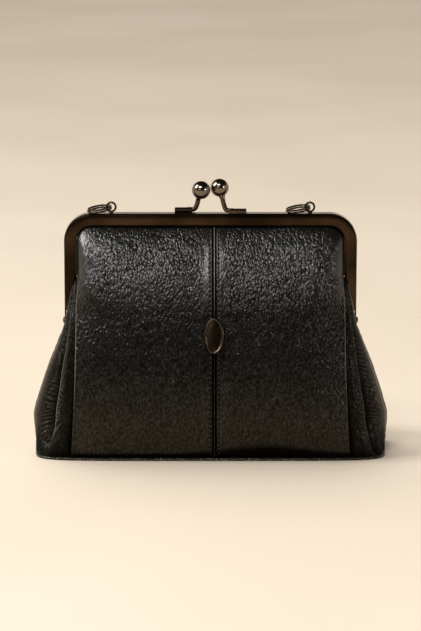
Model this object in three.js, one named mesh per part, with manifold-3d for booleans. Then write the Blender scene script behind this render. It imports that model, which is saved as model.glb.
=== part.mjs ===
// Kiss-lock frame bag. A metal frame in two hinged halves holds a leather body: two front panels, two back
// panels, a folded gusset at each side and a flat base. Millimetres, X to the right, Y to the back and Z up,
// with the origin in the middle of the underside of the base.
import * as THREE from 'three';
import { mergeVertices } from 'three/addons/utils/BufferGeometryUtils.js';
import Module from 'manifold-3d';

const wasm = await Module();
wasm.setup();

// ---------------------------------------------------------------- driving dimensions
const GAP = 0.3; // clearance between neighbouring pieces
const SEAM_GAP = 0.4; // and between a panel and a gusset along their slanting seam
const LEATHER = 1.4; // thickness of the panels and gussets

const BASE = { halfWidth: 122.4, halfDepth: 43.8, thickness: 1.8, power: 7, steps: 72 };

const FRAME = {
  halfWidth: 102,
  top: 167,
  halfDepth: 5.5,
  corner: 19.5, // outer radius of the two upper corners
  cornerSteps: 8,
  armEnd: 100.5, // height where the two channel arms stop
  part: 0.25, // from the middle plane to each half
  wall: 0.9, // outer wall of the channel
  lip: 0.8, // thickness of its face and of its inner plate
  faceWidth: 8.2,
  innerWidth: 7.2,
  edge: 1.6, // rounding between the face and the outer wall
};

const HINGE = {
  z: 91,
  earRadius: 3.2,
  earThickness: 0.9,
  frontEar: { inner: 101.1, near: -4.3, far: -0.4, top: 101.5 },
  backEar: { inner: 99.9, near: 1.3, far: 4.6, top: 103 },
  joggle: { outer: 101.2, bottom: 98.5 }, // block that steps the back ear inside the front one
  shank: 1.3,
  hole: 1.6,
  innerHead: { radius: 2.2, top: 1.5, height: 0.9 },
  outerHead: { radius: 2.4, top: 1.6, height: 1.17 },
};

const SEAM_X = 2.5; // the middle seam stands a little to the right of the frame's middle
const POST_Y = 2.9; // fittings stand this far from the middle plane, on either frame half
const PIN_END = 164.9; // height of the lower end of each fitting's pin, inside the channel

const SEAT = 0.05; // height of a fitting's underside above the frame

const CLASP = {
  ballRadius: 6.4,
  frontBall: [6.3, 3, 184.1],
  backBall: [-6.5, -3, 183.3],
  stemRadius: 1.7,
  plate: { near: 12.6, far: 25, depth: 3.4, height: 3.3 },
  // Bends of the stem: from the near end of the plate towards the middle, share of the plate's depth, rise.
  bends: [[-2, 1, 0], [0.4, 0.98, 0], [2.8, 0.72, 3], [4.2, 0.2, 7.4]],
  pinRadius: 1.1,
  pinHole: 1.4,
};

const EYELET = {
  x: 69,
  z: 171.5,
  radius: 3.15, // to the middle of the wire
  wire: 0.75,
  footRadius: 1.7,
  footTop: 168,
  pin: 0.9,
  hole: 1.2,
};

const RING = {
  radius: 8.1, // to the middle of the wire
  offset: 8.25, // from the eyelet's middle to the ring's middle
  halfWidth: 0.75, // of the wire, across the ring
  halfHeight: 0.675, // of the wire, along the ring's axis
  pitch: 1.5, // between the two turns
  jog: 0.7, // angle over which one turn steps up to the other
  start: 3.58, // angle of the lower cut end
  lean: 0.162, // the free side lies lower, on the frame
  pitchForward: 0.052,
  steps: 60,
};

const ORNAMENT = {
  halfWidth: 6.6,
  halfHeight: 12.2,
  z: 88,
  depth: 42.5, // of its back face: the panels' face and two clearances
  lean: 0.21, // with the slope of the panels
  thickness: 1.4,
  rim: 1.4,
  recess: 0.5,
  bevel: 0.35,
};

// ---------------------------------------------------------------- the leather body, section by section
/** Turns rows of numbers into objects whose fields are the named columns. */
function table(columns, rows) {
  return rows.map((row) => Object.fromEntries(columns.map((name, i) => [name, row[i]])));
}

// Levels of the body, from the base to where the side seam goes into the frame.
// seamX, seamDepth: the side seam. middleDepth: the panel at its middle.
// Then four lines of the gusset, each with its x, its depth and its height: the outer fold, the place where
// the leather is tucked in behind it, the roll that follows, and the inward crease on the hinge plane (depth 0).
// spread: 1 where the folds lie open on the base, 0 where they are closed.
const LEVELS = table(
  ['z', 'seamX', 'seamDepth', 'middleDepth', 'foldX', 'foldDepth', 'foldZ', 'tuckX', 'tuckDepth', 'tuckZ',
    'rollX', 'rollDepth', 'rollZ', 'creaseX', 'creaseZ', 'spread'],
  [
    [2.1, 96.8, 41.6, 42.6, 121.0, 15.0, 2.1, 120.9, 10.9, 2.1, 121.2, 7.5, 2.1, 120.6, 2.1, 1],
    [14, 96.0, 41.4, 45.8, 122.8, 15.0, 13, 121.6, 10.9, 12.7, 121.1, 7.5, 12.5, 118.5, 12, 0.45],
    [30, 95.2, 40.1, 47.2, 123.8, 14.5, 26, 122.2, 10.6, 25.7, 121.3, 7.3, 25.5, 118.0, 25, 0],
    [55, 94.2, 36.6, 46.4, 116.0, 13.5, 54, 114.5, 9.9, 53.2, 113.6, 6.8, 52.5, 110.5, 51, 0],
    [76, 93.7, 31.5, 44.1, 107.8, 12.0, 75, 106.6, 8.8, 73.9, 106.0, 6.0, 73, 103.5, 71, 0],
    [94, 93.6, 24.7, 40.2, 101.8, 10.8, 91, 100.8, 8.0, 88.5, 100.4, 5.4, 86, 98.2, 81, 0],
    [106, 93.6, 18.0, 36.6, 99.8, 9.7, 101.5, 100.0, 8.2, 97.6, 99.0, 4.8, 94, 96.9, 90, 0],
    [121.5, 93.2, 7.8, 30.6, 95.9, 8.8, 118, 98.8, 8.2, 100, 98.1, 4.6, 96.4, 97.0, 95, 0.4],
  ],
);

// Levels of the panels inside the frame, where their side edges lie in the channel.
const CHANNEL_LEVELS = table(
  ['z', 'middleDepth'],
  [
    [125.8, 28.7],
    [134, 24.6],
    [144, 19.0],
    [152, 13.0],
    [156.5, 8.0],
    [158.6, 4.2],
    [161.6, 3.95],
  ],
);

// Folds of the gusset between the side seam and its outer fold: how far along the straight line between
// those two each one lies, and how far it is pushed outwards, both as shares of that line. The second pair
// holds where the gusset lies open on the base.
const FOLDS = table(
  ['name', 'along', 'push', 'openAlong', 'openPush'],
  [
    ['seam roll', 0.15, 0.063, 0.186, 0.139],
    ['front ridge', 0.35, 0.096, 0.394, 0.251],
    ['valley', 0.41, -0.26, 0.517, 0.21],
    ['belly', 0.72, -0.01, 0.776, 0.167],
  ],
);

const ROWS_PER_LEVEL = 2;
const CHANNEL_DEPTH = 3.95; // outer face of the leather inside the channel
const ENTRY = { z: 124.3, x: 93.2, depth: 4.3, middleDepth: 29.4 }; // where the seam slips behind the face
const FREE_EDGE = { x: 93.2, corner: 11, cornerX: 82.2, cornerZ: 147.5 }; // edge of the leather that shows
const HELD_EDGE = { x: 96.4, corner: 14.2 }; // edge of the leather in the channel
const PANEL_COLUMNS = [0.96, 0.9, 0.82, 0.68, 0.48, 0.24]; // shares of the crown's half width, edge to middle
const PANEL_BEND = 0.985; // share of the crown's half width where an open side edge bends

// How squarely the panel's crown falls to its sides: flat to its power, and round where its root is 0.5.
const CROWN = { from: 96, to: 124, low: { power: 7, root: 1 }, high: { power: 12, root: 0.5 } };

// ---------------------------------------------------------------- mesh helpers
/** Signed volume of an indexed mesh: negative when its faces point inwards. */
function signedVolume(position, index) {
  const corner = [new THREE.Vector3(), new THREE.Vector3(), new THREE.Vector3()];
  let volume = 0;
  for (let i = 0; i < index.length; i += 3) {
    corner.forEach((point, k) => point.fromBufferAttribute(position, index[i + k]));
    volume += corner[0].dot(corner[1].cross(corner[2])) / 6;
  }
  return volume;
}

/** The same surface with shared corners merged, no empty triangles and its faces pointing outwards. */
function closed(geometry) {
  const bare = geometry.clone();
  bare.deleteAttribute('normal');
  bare.deleteAttribute('uv');
  const merged = mergeVertices(bare, 1e-4);
  const index = [];
  const all = merged.index.array;
  for (let i = 0; i < all.length; i += 3) {
    const [a, b, c] = [all[i], all[i + 1], all[i + 2]];
    if (a !== b && b !== c && c !== a) index.push(a, b, c);
  }
  if (signedVolume(merged.attributes.position, index) < 0) index.reverse();
  merged.setIndex(index);
  return merged;
}

/** A geometry from corner points and a flat list of triangle corners. */
function surface(points, triangles) {
  const geometry = new THREE.BufferGeometry().setFromPoints(points);
  geometry.setIndex(triangles);
  return closed(geometry);
}

function toSolid(geometry) {
  const ready = closed(geometry);
  return new wasm.Manifold(
    new wasm.Mesh({
      numProp: 3,
      vertProperties: new Float32Array(ready.attributes.position.array),
      triVerts: new Uint32Array(ready.index.array),
    }),
  );
}

function toGeometry(body) {
  const mesh = body.getMesh();
  const geometry = new THREE.BufferGeometry();
  geometry.setAttribute('position', new THREE.BufferAttribute(new Float32Array(mesh.vertProperties), 3));
  geometry.setIndex([...mesh.triVerts]);
  return geometry;
}

/** Joins the added geometries into one solid, then takes the cut ones away. */
function build(added, cut = []) {
  let body = toSolid(added[0]);
  for (const geometry of added.slice(1)) body = body.add(toSolid(geometry));
  for (const geometry of cut) body = body.subtract(toSolid(geometry));
  return toGeometry(body);
}

/** An upright cylinder between two heights. */
function post(radius, x, y, bottom, top, sides = 16) {
  const geometry = new THREE.CylinderGeometry(radius, radius, top - bottom, sides);
  return geometry.rotateX(Math.PI / 2).translate(x, y, (top + bottom) / 2);
}

function block(x, y, z) {
  const geometry = new THREE.BoxGeometry(x[1] - x[0], y[1] - y[0], z[1] - z[0]);
  return geometry.translate((x[0] + x[1]) / 2, (y[0] + y[1]) / 2, (z[0] + z[1]) / 2);
}

/** Mirrors a closed geometry in one axis. */
function mirrored(geometry, x, y) {
  return closed(geometry.clone().scale(x, y, 1));
}

/** Carries a flat outline through a list of rings of points and closes both ends. */
function loft(outline, rings) {
  const count = outline.length;
  const triangles = [];
  for (let r = 0; r + 1 < rings.length; r++) {
    for (let i = 0; i < count; i++) {
      const [a, b] = [r * count + i, r * count + ((i + 1) % count)];
      triangles.push(a, b, b + count, a, b + count, a + count);
    }
  }
  const last = (rings.length - 1) * count;
  for (const [a, b, c] of THREE.ShapeUtils.triangulateShape(outline, [])) {
    triangles.push(c, b, a, last + a, last + b, last + c);
  }
  return surface(rings.flat(), triangles);
}

/** Direction from one point of a grid line to the next, averaged over the two sides of the point. */
function along(line, i) {
  const next = line[Math.min(i + 1, line.length - 1)];
  const before = line[Math.max(i - 1, 0)];
  return next.clone().sub(before).normalize();
}

/** Outward directions of a grid whose rows climb and whose columns have the outer face to their right. */
function gridNormals(grid) {
  return grid.map((row, r) =>
    row.map((_, c) => {
      const climb = along(grid.map((line) => line[c]), r);
      return along(row, c).cross(climb).normalize();
    }),
  );
}

/**
 * A leather wall: the outer grid of points, and the same grid set inwards by the leather's thickness.
 * From column turn on, the grid's squares are split along their other diagonal, so that both halves of a
 * mirrored wall are alike.
 */
function leatherWall(grid, normals = gridNormals(grid), turn = Infinity) {
  const [rows, columns] = [grid.length, grid[0].length];
  const inner = grid.map((row, r) =>
    row.map((point, c) => {
      const inside = point.clone().addScaledVector(normals[r][c], -LEATHER);
      if (r === 0) inside.z = point.z;
      return inside;
    }),
  );
  const at = (side, r, c) => side * rows * columns + r * columns + c;
  const triangles = [];
  const quad = (a, b, c, d) => triangles.push(a, b, c, a, c, d);
  for (let r = 0; r + 1 < rows; r++) {
    for (let c = 0; c + 1 < columns; c++) {
      const outside = [at(0, r, c), at(0, r, c + 1), at(0, r + 1, c + 1), at(0, r + 1, c)];
      const inside = [at(1, r, c), at(1, r + 1, c), at(1, r + 1, c + 1), at(1, r, c + 1)];
      for (const corners of [outside, inside]) {
        if (c < turn) quad(...corners);
        else quad(...corners.slice(1), corners[0]);
      }
    }
    const end = columns - 1;
    quad(at(0, r, 0), at(0, r + 1, 0), at(1, r + 1, 0), at(1, r, 0));
    quad(at(0, r, end), at(1, r, end), at(1, r + 1, end), at(0, r + 1, end));
  }
  for (let c = 0; c + 1 < columns; c++) {
    const top = rows - 1;
    quad(at(0, 0, c), at(1, 0, c), at(1, 0, c + 1), at(0, 0, c + 1));
    quad(at(0, top, c), at(0, top, c + 1), at(1, top, c + 1), at(1, top, c));
  }
  return surface([...grid.flat(), ...inner.flat()], triangles);
}

// ---------------------------------------------------------------- panels
/** Smooth rows between the levels: every column of the level table follows a spline of its own. */
function bodyRows() {
  const columns = Object.keys(LEVELS[0]);
  const count = (LEVELS.length - 1) * ROWS_PER_LEVEL;
  const splines = columns.map((name) => {
    const points = LEVELS.map((level) => new THREE.Vector3(level[name], 0, 0));
    return new THREE.CatmullRomCurve3(points, false, 'catmullrom', 0.5);
  });
  return Array.from({ length: count + 1 }, (_, i) =>
    Object.fromEntries(columns.map((name, c) => [name, splines[c].getPoint(i / count).x])),
  );
}

/** Half width of an upright outline with round upper corners, at height z. */
function roundedEdge(x, corner, z) {
  const rise = Math.max(0, z - FREE_EDGE.cornerZ);
  if (rise === 0) return x;
  return FREE_EDGE.cornerX + Math.sqrt(Math.max(0, corner ** 2 - rise ** 2));
}

/** Rows of the panels: where the crown ends, where the wall bends, its edge, and the depths there. */
function panelRows() {
  const sewn = bodyRows().map((row) => ({ ...row, crownX: row.seamX, edgeDepth: row.seamDepth }));
  const entry = {
    z: ENTRY.z,
    crownX: ENTRY.x,
    edgeDepth: ENTRY.depth,
    middleDepth: ENTRY.middleDepth,
  };
  const open = [...sewn, entry].map((row) => ({ ...row, edgeX: row.crownX, bendX: PANEL_BEND * row.crownX }));
  const held = CHANNEL_LEVELS.map(({ z, middleDepth }) => {
    const crownX = roundedEdge(FREE_EDGE.x, FREE_EDGE.corner, z);
    const edgeX = roundedEdge(HELD_EDGE.x, HELD_EDGE.corner, z);
    return { z, crownX, bendX: crownX, edgeX, edgeDepth: CHANNEL_DEPTH, middleDepth };
  });
  return [...open, ...held];
}

/** Depth of a panel: full in the middle, falling to the edge with a squarish crown. */
function panelDepth(row, x) {
  const share = Math.min(1, Math.abs(x) / row.crownX);
  const climb = THREE.MathUtils.smoothstep(row.z, CROWN.from, CROWN.to);
  const power = THREE.MathUtils.lerp(CROWN.low.power, CROWN.high.power, climb);
  const root = THREE.MathUtils.lerp(CROWN.low.root, CROWN.high.root, climb);
  return row.edgeDepth + (row.middleDepth - row.edgeDepth) * (1 - share ** power) ** root;
}

/** Outer face of a front panel, from its left side edge to a middle seam at x. */
function panelGrid(seam) {
  return panelRows().map((row) => {
    const shown = PANEL_COLUMNS.map((share) => -share * row.crownX);
    const xs = [-row.edgeX, -row.bendX, ...shown, seam];
    return xs.map((x) => new THREE.Vector3(x, -panelDepth(row, x), row.z));
  });
}

const leftPanel = panelGrid(SEAM_X - GAP / 2);
const rightPanel = panelGrid(-SEAM_X - GAP / 2); // mirrored when it is placed

// ---------------------------------------------------------------- gussets
/** Points of the right gusset's outer face from the outer fold round to its middle crease. */
function innerFolds(row) {
  return [
    new THREE.Vector3(row.foldX, -row.foldDepth, row.foldZ),
    new THREE.Vector3(row.tuckX, -row.tuckDepth, row.tuckZ),
    new THREE.Vector3(row.rollX, -row.rollDepth, row.rollZ),
    new THREE.Vector3(row.creaseX, 0, row.creaseZ),
  ];
}

/** Points of the right gusset's outer face from the side seam to the last fold before the outer one. */
function outerFolds(row) {
  const seam = new THREE.Vector3(row.seamX, -row.seamDepth, row.z);
  const line = new THREE.Vector3(row.foldX, -row.foldDepth, row.foldZ).sub(seam);
  const push = new THREE.Vector3(line.y, -line.x, 0);
  return FOLDS.map((fold) => {
    const share = THREE.MathUtils.lerp(fold.along, fold.openAlong, row.spread);
    const out = THREE.MathUtils.lerp(fold.push, fold.openPush, row.spread);
    return seam.clone().addScaledVector(line, share).addScaledVector(push, out);
  });
}

/** The right gusset: from the front seam over its folds to the middle crease, then mirrored to the back. */
function gussetWall() {
  const across = (point) => point.clone().setX(-point.x);
  const firstNormals = gridNormals(leftPanel).map((line) => across(line[0]));
  const grid = bodyRows().map((row, r) => {
    const [edge, next] = leftPanel[r].map(across);
    const start = edge.clone().addScaledVector(edge.clone().sub(next).normalize(), SEAM_GAP);
    const front = [start, ...outerFolds(row), ...innerFolds(row)];
    const back = front.slice(0, -1).map((point) => point.clone().setY(-point.y));
    return [...front, ...back.reverse()];
  });
  const normals = gridNormals(grid);
  normals.forEach((line, r) => {
    line[0] = firstNormals[r];
    line[line.length - 1] = firstNormals[r].clone().setY(-firstNormals[r].y);
  });
  return leatherWall(grid, normals, (grid[0].length - 1) / 2);
}

/** The base: a flat superellipse that stands a little proud of the walls. */
function base() {
  const { halfWidth, halfDepth, power, steps } = BASE;
  const corner = (turn, half) => Math.sign(turn) * half * Math.abs(turn) ** (2 / power);
  const outline = Array.from({ length: steps }, (_, i) => {
    const angle = (2 * Math.PI * i) / steps;
    return new THREE.Vector2(corner(Math.cos(angle), halfWidth), corner(Math.sin(angle), halfDepth));
  });
  return new THREE.ExtrudeGeometry(new THREE.Shape(outline), { depth: BASE.thickness, bevelEnabled: false });
}

// ---------------------------------------------------------------- frame
/** Section of the front half's channel: x is inwards from the outer wall, y is the depth axis. */
function channelSection() {
  const face = -FRAME.halfDepth;
  const rounding = Array.from({ length: 5 }, (_, i) => {
    const angle = Math.PI + (i / 4) * (Math.PI / 2);
    const middle = [FRAME.edge, face + FRAME.edge];
    return [middle[0] + FRAME.edge * Math.cos(angle), middle[1] + FRAME.edge * Math.sin(angle)];
  });
  const corners = [
    [0, -FRAME.part],
    ...rounding,
    [FRAME.faceWidth, face],
    [FRAME.faceWidth, face + FRAME.lip],
    [FRAME.wall, face + FRAME.lip],
    [FRAME.wall, -FRAME.part - FRAME.lip],
    [FRAME.innerWidth, -FRAME.part - FRAME.lip],
    [FRAME.innerWidth, -FRAME.part],
  ];
  return corners.map(([x, y]) => new THREE.Vector2(x, y));
}

/** Stops of the arch: up the left arm, round both upper corners and down the right arm. */
function archStops() {
  const x = FRAME.halfWidth - FRAME.corner;
  const z = FRAME.top - FRAME.corner;
  const stops = [{ x: -x, z: FRAME.armEnd, angle: Math.PI }];
  for (const side of [-1, 1]) {
    for (let i = 0; i <= FRAME.cornerSteps; i++) {
      const turned = ((side + 1) / 2 + i / FRAME.cornerSteps) * (Math.PI / 2);
      stops.push({ x: side * x, z, angle: Math.PI - turned });
    }
  }
  stops.push({ x, z: FRAME.armEnd, angle: 0 });
  return stops;
}

function arch() {
  const section = channelSection();
  const rings = archStops().map(({ x, z, angle }) =>
    section.map((point) => {
      const radius = FRAME.corner - point.x;
      return new THREE.Vector3(x + radius * Math.cos(angle), point.y, z + radius * Math.sin(angle));
    }),
  );
  return loft(section, rings);
}

/** Hinge ear on the right side: a flat tongue that ends in a round eye at the hinge. */
function ear({ inner, near, far, top }) {
  const outline = new THREE.Shape();
  outline.moveTo(near, top);
  outline.lineTo(-HINGE.earRadius, HINGE.z);
  outline.absarc(0, HINGE.z, HINGE.earRadius, Math.PI, 2 * Math.PI, false);
  outline.lineTo(far, top);
  const geometry = new THREE.ExtrudeGeometry(outline, {
    depth: HINGE.earThickness,
    bevelEnabled: false,
    curveSegments: 10,
  });
  const sideways = new THREE.Matrix4().makeBasis(
    new THREE.Vector3(0, 1, 0),
    new THREE.Vector3(0, 0, 1),
    new THREE.Vector3(1, 0, 0),
  );
  return geometry.applyMatrix4(sideways).translate(inner, 0, 0);
}

const bothSides = (geometry) => [geometry, mirrored(geometry, -1, 1)];

/** A bore along X through the ears of both sides. */
function hingeBore() {
  const length = 2 * (FRAME.halfWidth + 1);
  const bore = new THREE.CylinderGeometry(HINGE.hole, HINGE.hole, length, 16);
  return bore.rotateZ(Math.PI / 2).translate(0, 0, HINGE.z);
}

const fittingHole = (radius, x, y) => post(radius, x, y, PIN_END, FRAME.top + 1, 12);
const plateMiddle = (CLASP.plate.near + CLASP.plate.far) / 2;

function frontFrame() {
  const holes = [fittingHole(CLASP.pinHole, plateMiddle, -POST_Y)];
  for (const side of [-1, 1]) holes.push(fittingHole(EYELET.hole, side * EYELET.x, -POST_Y));
  return build([arch(), ...bothSides(ear(HINGE.frontEar))], [hingeBore(), ...holes]);
}

function backFrame() {
  const { inner, near, far, top } = HINGE.backEar;
  const joggle = block([inner, HINGE.joggle.outer], [near, far], [HINGE.joggle.bottom, top]);
  const added = [mirrored(arch(), 1, -1), ...bothSides(ear(HINGE.backEar)), ...bothSides(joggle)];
  return build(added, [hingeBore(), fittingHole(CLASP.pinHole, -plateMiddle, POST_Y)]);
}

/** Hinge rivet on the right side: head inside, shank through both ears along X, domed head outside. */
function rivet() {
  const { shank, backEar, innerHead, outerHead } = HINGE;
  const inside = backEar.inner - GAP;
  const outside = FRAME.halfWidth + GAP;
  const profile = [
    [0, inside - innerHead.height],
    [innerHead.top, inside - 0.8 * innerHead.height],
    [innerHead.radius, inside - 0.33 * innerHead.height],
    [innerHead.radius, inside],
    [shank, inside],
    [shank, outside],
    [outerHead.radius, outside],
    [outerHead.radius, outside + 0.4 * outerHead.height],
    [outerHead.top, outside + 0.8 * outerHead.height],
    [0, outside + outerHead.height],
  ];
  const points = profile.map(([radius, x]) => new THREE.Vector2(radius, x));
  return new THREE.LatheGeometry(points, 16).rotateZ(-Math.PI / 2).translate(0, 0, HINGE.z);
}

// ---------------------------------------------------------------- kiss-lock clasp
/** One clasp: a plate on its frame half, and a bent stem that carries the ball across to the other half. */
function clasp(side, plateY, ball) {
  const { plate, bends, stemRadius, ballRadius, pinRadius } = CLASP;
  const bottom = FRAME.top + SEAT;
  const level = bottom + stemRadius + GAP / 2;
  const route = bends.map(([inwards, share, rise]) => {
    return new THREE.Vector3(side * (plate.near - inwards), plateY * share, level + rise);
  });
  const curve = new THREE.CatmullRomCurve3([...route, new THREE.Vector3(...ball)]);
  const round = new THREE.Shape().absarc(0, 0, stemRadius, 0, 2 * Math.PI);
  const stem = new THREE.ExtrudeGeometry(round, { steps: 16, extrudePath: curve, curveSegments: 5 });
  const ends = [side * plate.near, side * plate.far].sort((a, b) => a - b);
  const depths = [plateY - plate.depth / 2, plateY + plate.depth / 2];
  return build([
    block(ends, depths, [bottom, bottom + plate.height]),
    post(pinRadius, side * plateMiddle, plateY, PIN_END, bottom + 1, 10),
    stem,
    new THREE.SphereGeometry(ballRadius, 24, 14).rotateX(Math.PI / 2).translate(...ball),
  ]);
}

// ---------------------------------------------------------------- eyelets and split rings
function eyelet(x) {
  const loop = new THREE.TorusGeometry(EYELET.radius, EYELET.wire, 8, 20);
  return build([
    loop.rotateX(Math.PI / 2).translate(x, -POST_Y, EYELET.z),
    post(EYELET.footRadius, x, -POST_Y, FRAME.top + SEAT, EYELET.footTop),
    post(EYELET.pin, x, -POST_Y, PIN_END, EYELET.footTop - 0.2, 10),
  ]);
}

/** Middle of a split ring's wire: two flat turns, with a step up from one to the other. */
class SplitRingCurve extends THREE.Curve {
  getPoint(t, target = new THREE.Vector3()) {
    const turned = t * (4 * Math.PI - RING.jog);
    const rise = THREE.MathUtils.smoothstep(turned, 2 * Math.PI - RING.jog, 2 * Math.PI);
    const angle = RING.start + turned;
    return target.set(
      RING.radius * Math.cos(angle),
      RING.radius * Math.sin(angle),
      RING.pitch * (rise - 0.5),
    );
  }
}

function splitRing() {
  const wire = new THREE.Shape().absellipse(0, 0, RING.halfHeight, RING.halfWidth, 0, 2 * Math.PI);
  return new THREE.ExtrudeGeometry(wire, {
    steps: RING.steps,
    extrudePath: new SplitRingCurve(),
    curveSegments: 4,
  });
}

// ---------------------------------------------------------------- ornament
/** A plain oval plate with a raised rim, standing for the metal ornament of the front. */
function ornament() {
  const { halfWidth, halfHeight, thickness, rim, recess, bevel } = ORNAMENT;
  const oval = (inset) => {
    return new THREE.Shape().absellipse(0, 0, halfWidth - inset, halfHeight - inset, 0, 2 * Math.PI);
  };
  const plate = new THREE.ExtrudeGeometry(oval(bevel), {
    depth: thickness - bevel,
    bevelSize: bevel,
    bevelThickness: bevel,
    bevelSegments: 2,
    curveSegments: 16,
  });
  const cut = { depth: thickness, bevelEnabled: false, curveSegments: 16 };
  const pocket = new THREE.ExtrudeGeometry(oval(rim), cut);
  return build([plate], [pocket.translate(0, 0, thickness - recess)]);
}

// ---------------------------------------------------------------- assembly
const leather = { color: 0x17140f, roughness: 0.5, metalness: 0 };
const darkLeather = { color: 0x100e0b, roughness: 0.6, metalness: 0 };
const gunmetal = { color: 0x4a4036, roughness: 0.25, metalness: 1 };
const ballMetal = { color: 0x5a5249, roughness: 0.15, metalness: 1 };

const bag = new THREE.Group();

function place(name, geometry, finish, parent = bag) {
  const mesh = new THREE.Mesh(closed(geometry), new THREE.MeshStandardMaterial(finish));
  mesh.name = name;
  parent.add(mesh);
  return mesh;
}

const panelWalls = { left: leatherWall(leftPanel), right: mirrored(leatherWall(rightPanel), -1, 1) };
for (const [name, wall] of Object.entries(panelWalls)) {
  place(`front_panel_${name}`, wall, leather);
  place(`back_panel_${name}`, mirrored(wall, 1, -1), leather);
}

const gusset = gussetWall();
place('gusset_right', gusset, leather);
place('gusset_left', mirrored(gusset, -1, 1), leather);
place('base_panel', base(), darkLeather);

place('front_frame', frontFrame(), gunmetal);
place('back_frame', backFrame(), gunmetal);
place('hinge_rivet_right', rivet(), gunmetal);
place('hinge_rivet_left', mirrored(rivet(), -1, 1), gunmetal);

place('front_clasp', clasp(1, -POST_Y, CLASP.frontBall), ballMetal);
place('back_clasp', clasp(-1, POST_Y, CLASP.backBall), ballMetal);

for (const [name, side] of [['left', -1], ['right', 1]]) {
  place(`eyelet_${name}`, eyelet(side * EYELET.x), gunmetal);
  const hang = new THREE.Group();
  hang.position.set(side * EYELET.x, -POST_Y, EYELET.z);
  hang.rotation.set(RING.pitchForward, -RING.lean, 0);
  place(`split_ring_${name}`, splitRing(), gunmetal, hang).position.x = -RING.offset;
  bag.add(hang);
}

const plate = place('ornament_plate', ornament(), gunmetal);
plate.position.set(SEAM_X, -ORNAMENT.depth, ORNAMENT.z);
plate.rotation.x = Math.PI / 2 - ORNAMENT.lean;

export default bag;
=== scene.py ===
# %% [markdown]
# # A kiss-lock frame bag
# The bag is a soft leather body sewn from two front panels, two back panels, a folded gusset at each side
# and a base, and it hangs in a metal frame that shuts with two crossing balls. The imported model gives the
# construction: where each piece sits, what carries it and what it weighs. It could be shown as it is, but
# its walls are faceted and have no grain, so this script builds a fine surface for every piece in the same
# place and gives it its finish. Loading comes first, because all the places below are read from it.

import itertools
import math

import bmesh
import bpy
import numpy as np
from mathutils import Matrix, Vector


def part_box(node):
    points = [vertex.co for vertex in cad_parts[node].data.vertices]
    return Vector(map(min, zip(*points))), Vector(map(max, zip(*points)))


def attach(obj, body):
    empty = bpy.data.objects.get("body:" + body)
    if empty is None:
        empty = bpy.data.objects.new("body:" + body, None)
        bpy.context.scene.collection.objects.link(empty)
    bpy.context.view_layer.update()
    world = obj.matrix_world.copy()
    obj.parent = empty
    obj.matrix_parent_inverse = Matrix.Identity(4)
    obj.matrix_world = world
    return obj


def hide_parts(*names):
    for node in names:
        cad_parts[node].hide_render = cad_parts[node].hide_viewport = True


MM = 0.001
SIDES = {"left": -1, "right": 1}
FACES = {"front": -1, "back": 1}

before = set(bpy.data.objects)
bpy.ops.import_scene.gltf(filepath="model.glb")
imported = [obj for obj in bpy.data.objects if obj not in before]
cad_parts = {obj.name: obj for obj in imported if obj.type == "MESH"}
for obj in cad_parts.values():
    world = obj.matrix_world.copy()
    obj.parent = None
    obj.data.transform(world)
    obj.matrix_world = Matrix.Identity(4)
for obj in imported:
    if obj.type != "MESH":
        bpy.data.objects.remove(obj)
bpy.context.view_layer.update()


def box_mm(node):
    """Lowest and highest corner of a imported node, in millimetres."""
    low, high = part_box(node)
    return np.array(low) / MM, np.array(high) / MM


SEAM_X = (box_mm("front_panel_left")[1][0] + box_mm("front_panel_right")[0][0]) / 2
print("the middle seam is at", round(SEAM_X, 2), "mm")

# %% [markdown]
# ## Camera
# The camera looks slightly down at the front, from far enough away that the bag keeps straight sides.
# A short lens close by would show the same height but would swell the middle.

# %% Camera
CAMERA_RISE = math.radians(11)
CAMERA_DISTANCE = 1.8
CAMERA_TARGET = Vector((0, 0, 0.0941))
LENS = 146.4

scene = bpy.context.scene


def look_at(thing, target):
    """Turns a camera or a lamp so that its own -Z axis points from where it stands to the target."""
    thing.rotation_euler = (target - thing.location).to_track_quat("-Z", "Y").to_euler()


camera = bpy.data.objects.new("camera", bpy.data.cameras.new("camera"))
camera.data.lens = LENS
to_camera = Vector((0, -math.cos(CAMERA_RISE), math.sin(CAMERA_RISE)))
camera.location = CAMERA_TARGET + CAMERA_DISTANCE * to_camera
look_at(camera, CAMERA_TARGET)
scene.collection.objects.link(camera)
scene.camera = camera
scene.view_settings.view_transform = "Standard"
print("camera at", [round(v, 3) for v in camera.location])

# %% [markdown]
# ## Node trees
# Every finish, and the sky, is a small node tree. A helper keeps them short: it makes a node, sets its
# values and joins its inputs in one call. Patterns are read from Object coordinates, which are metres in
# the bag's own frame, so a pattern has its real size and lies still in every view.

# %% Node helpers


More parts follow.
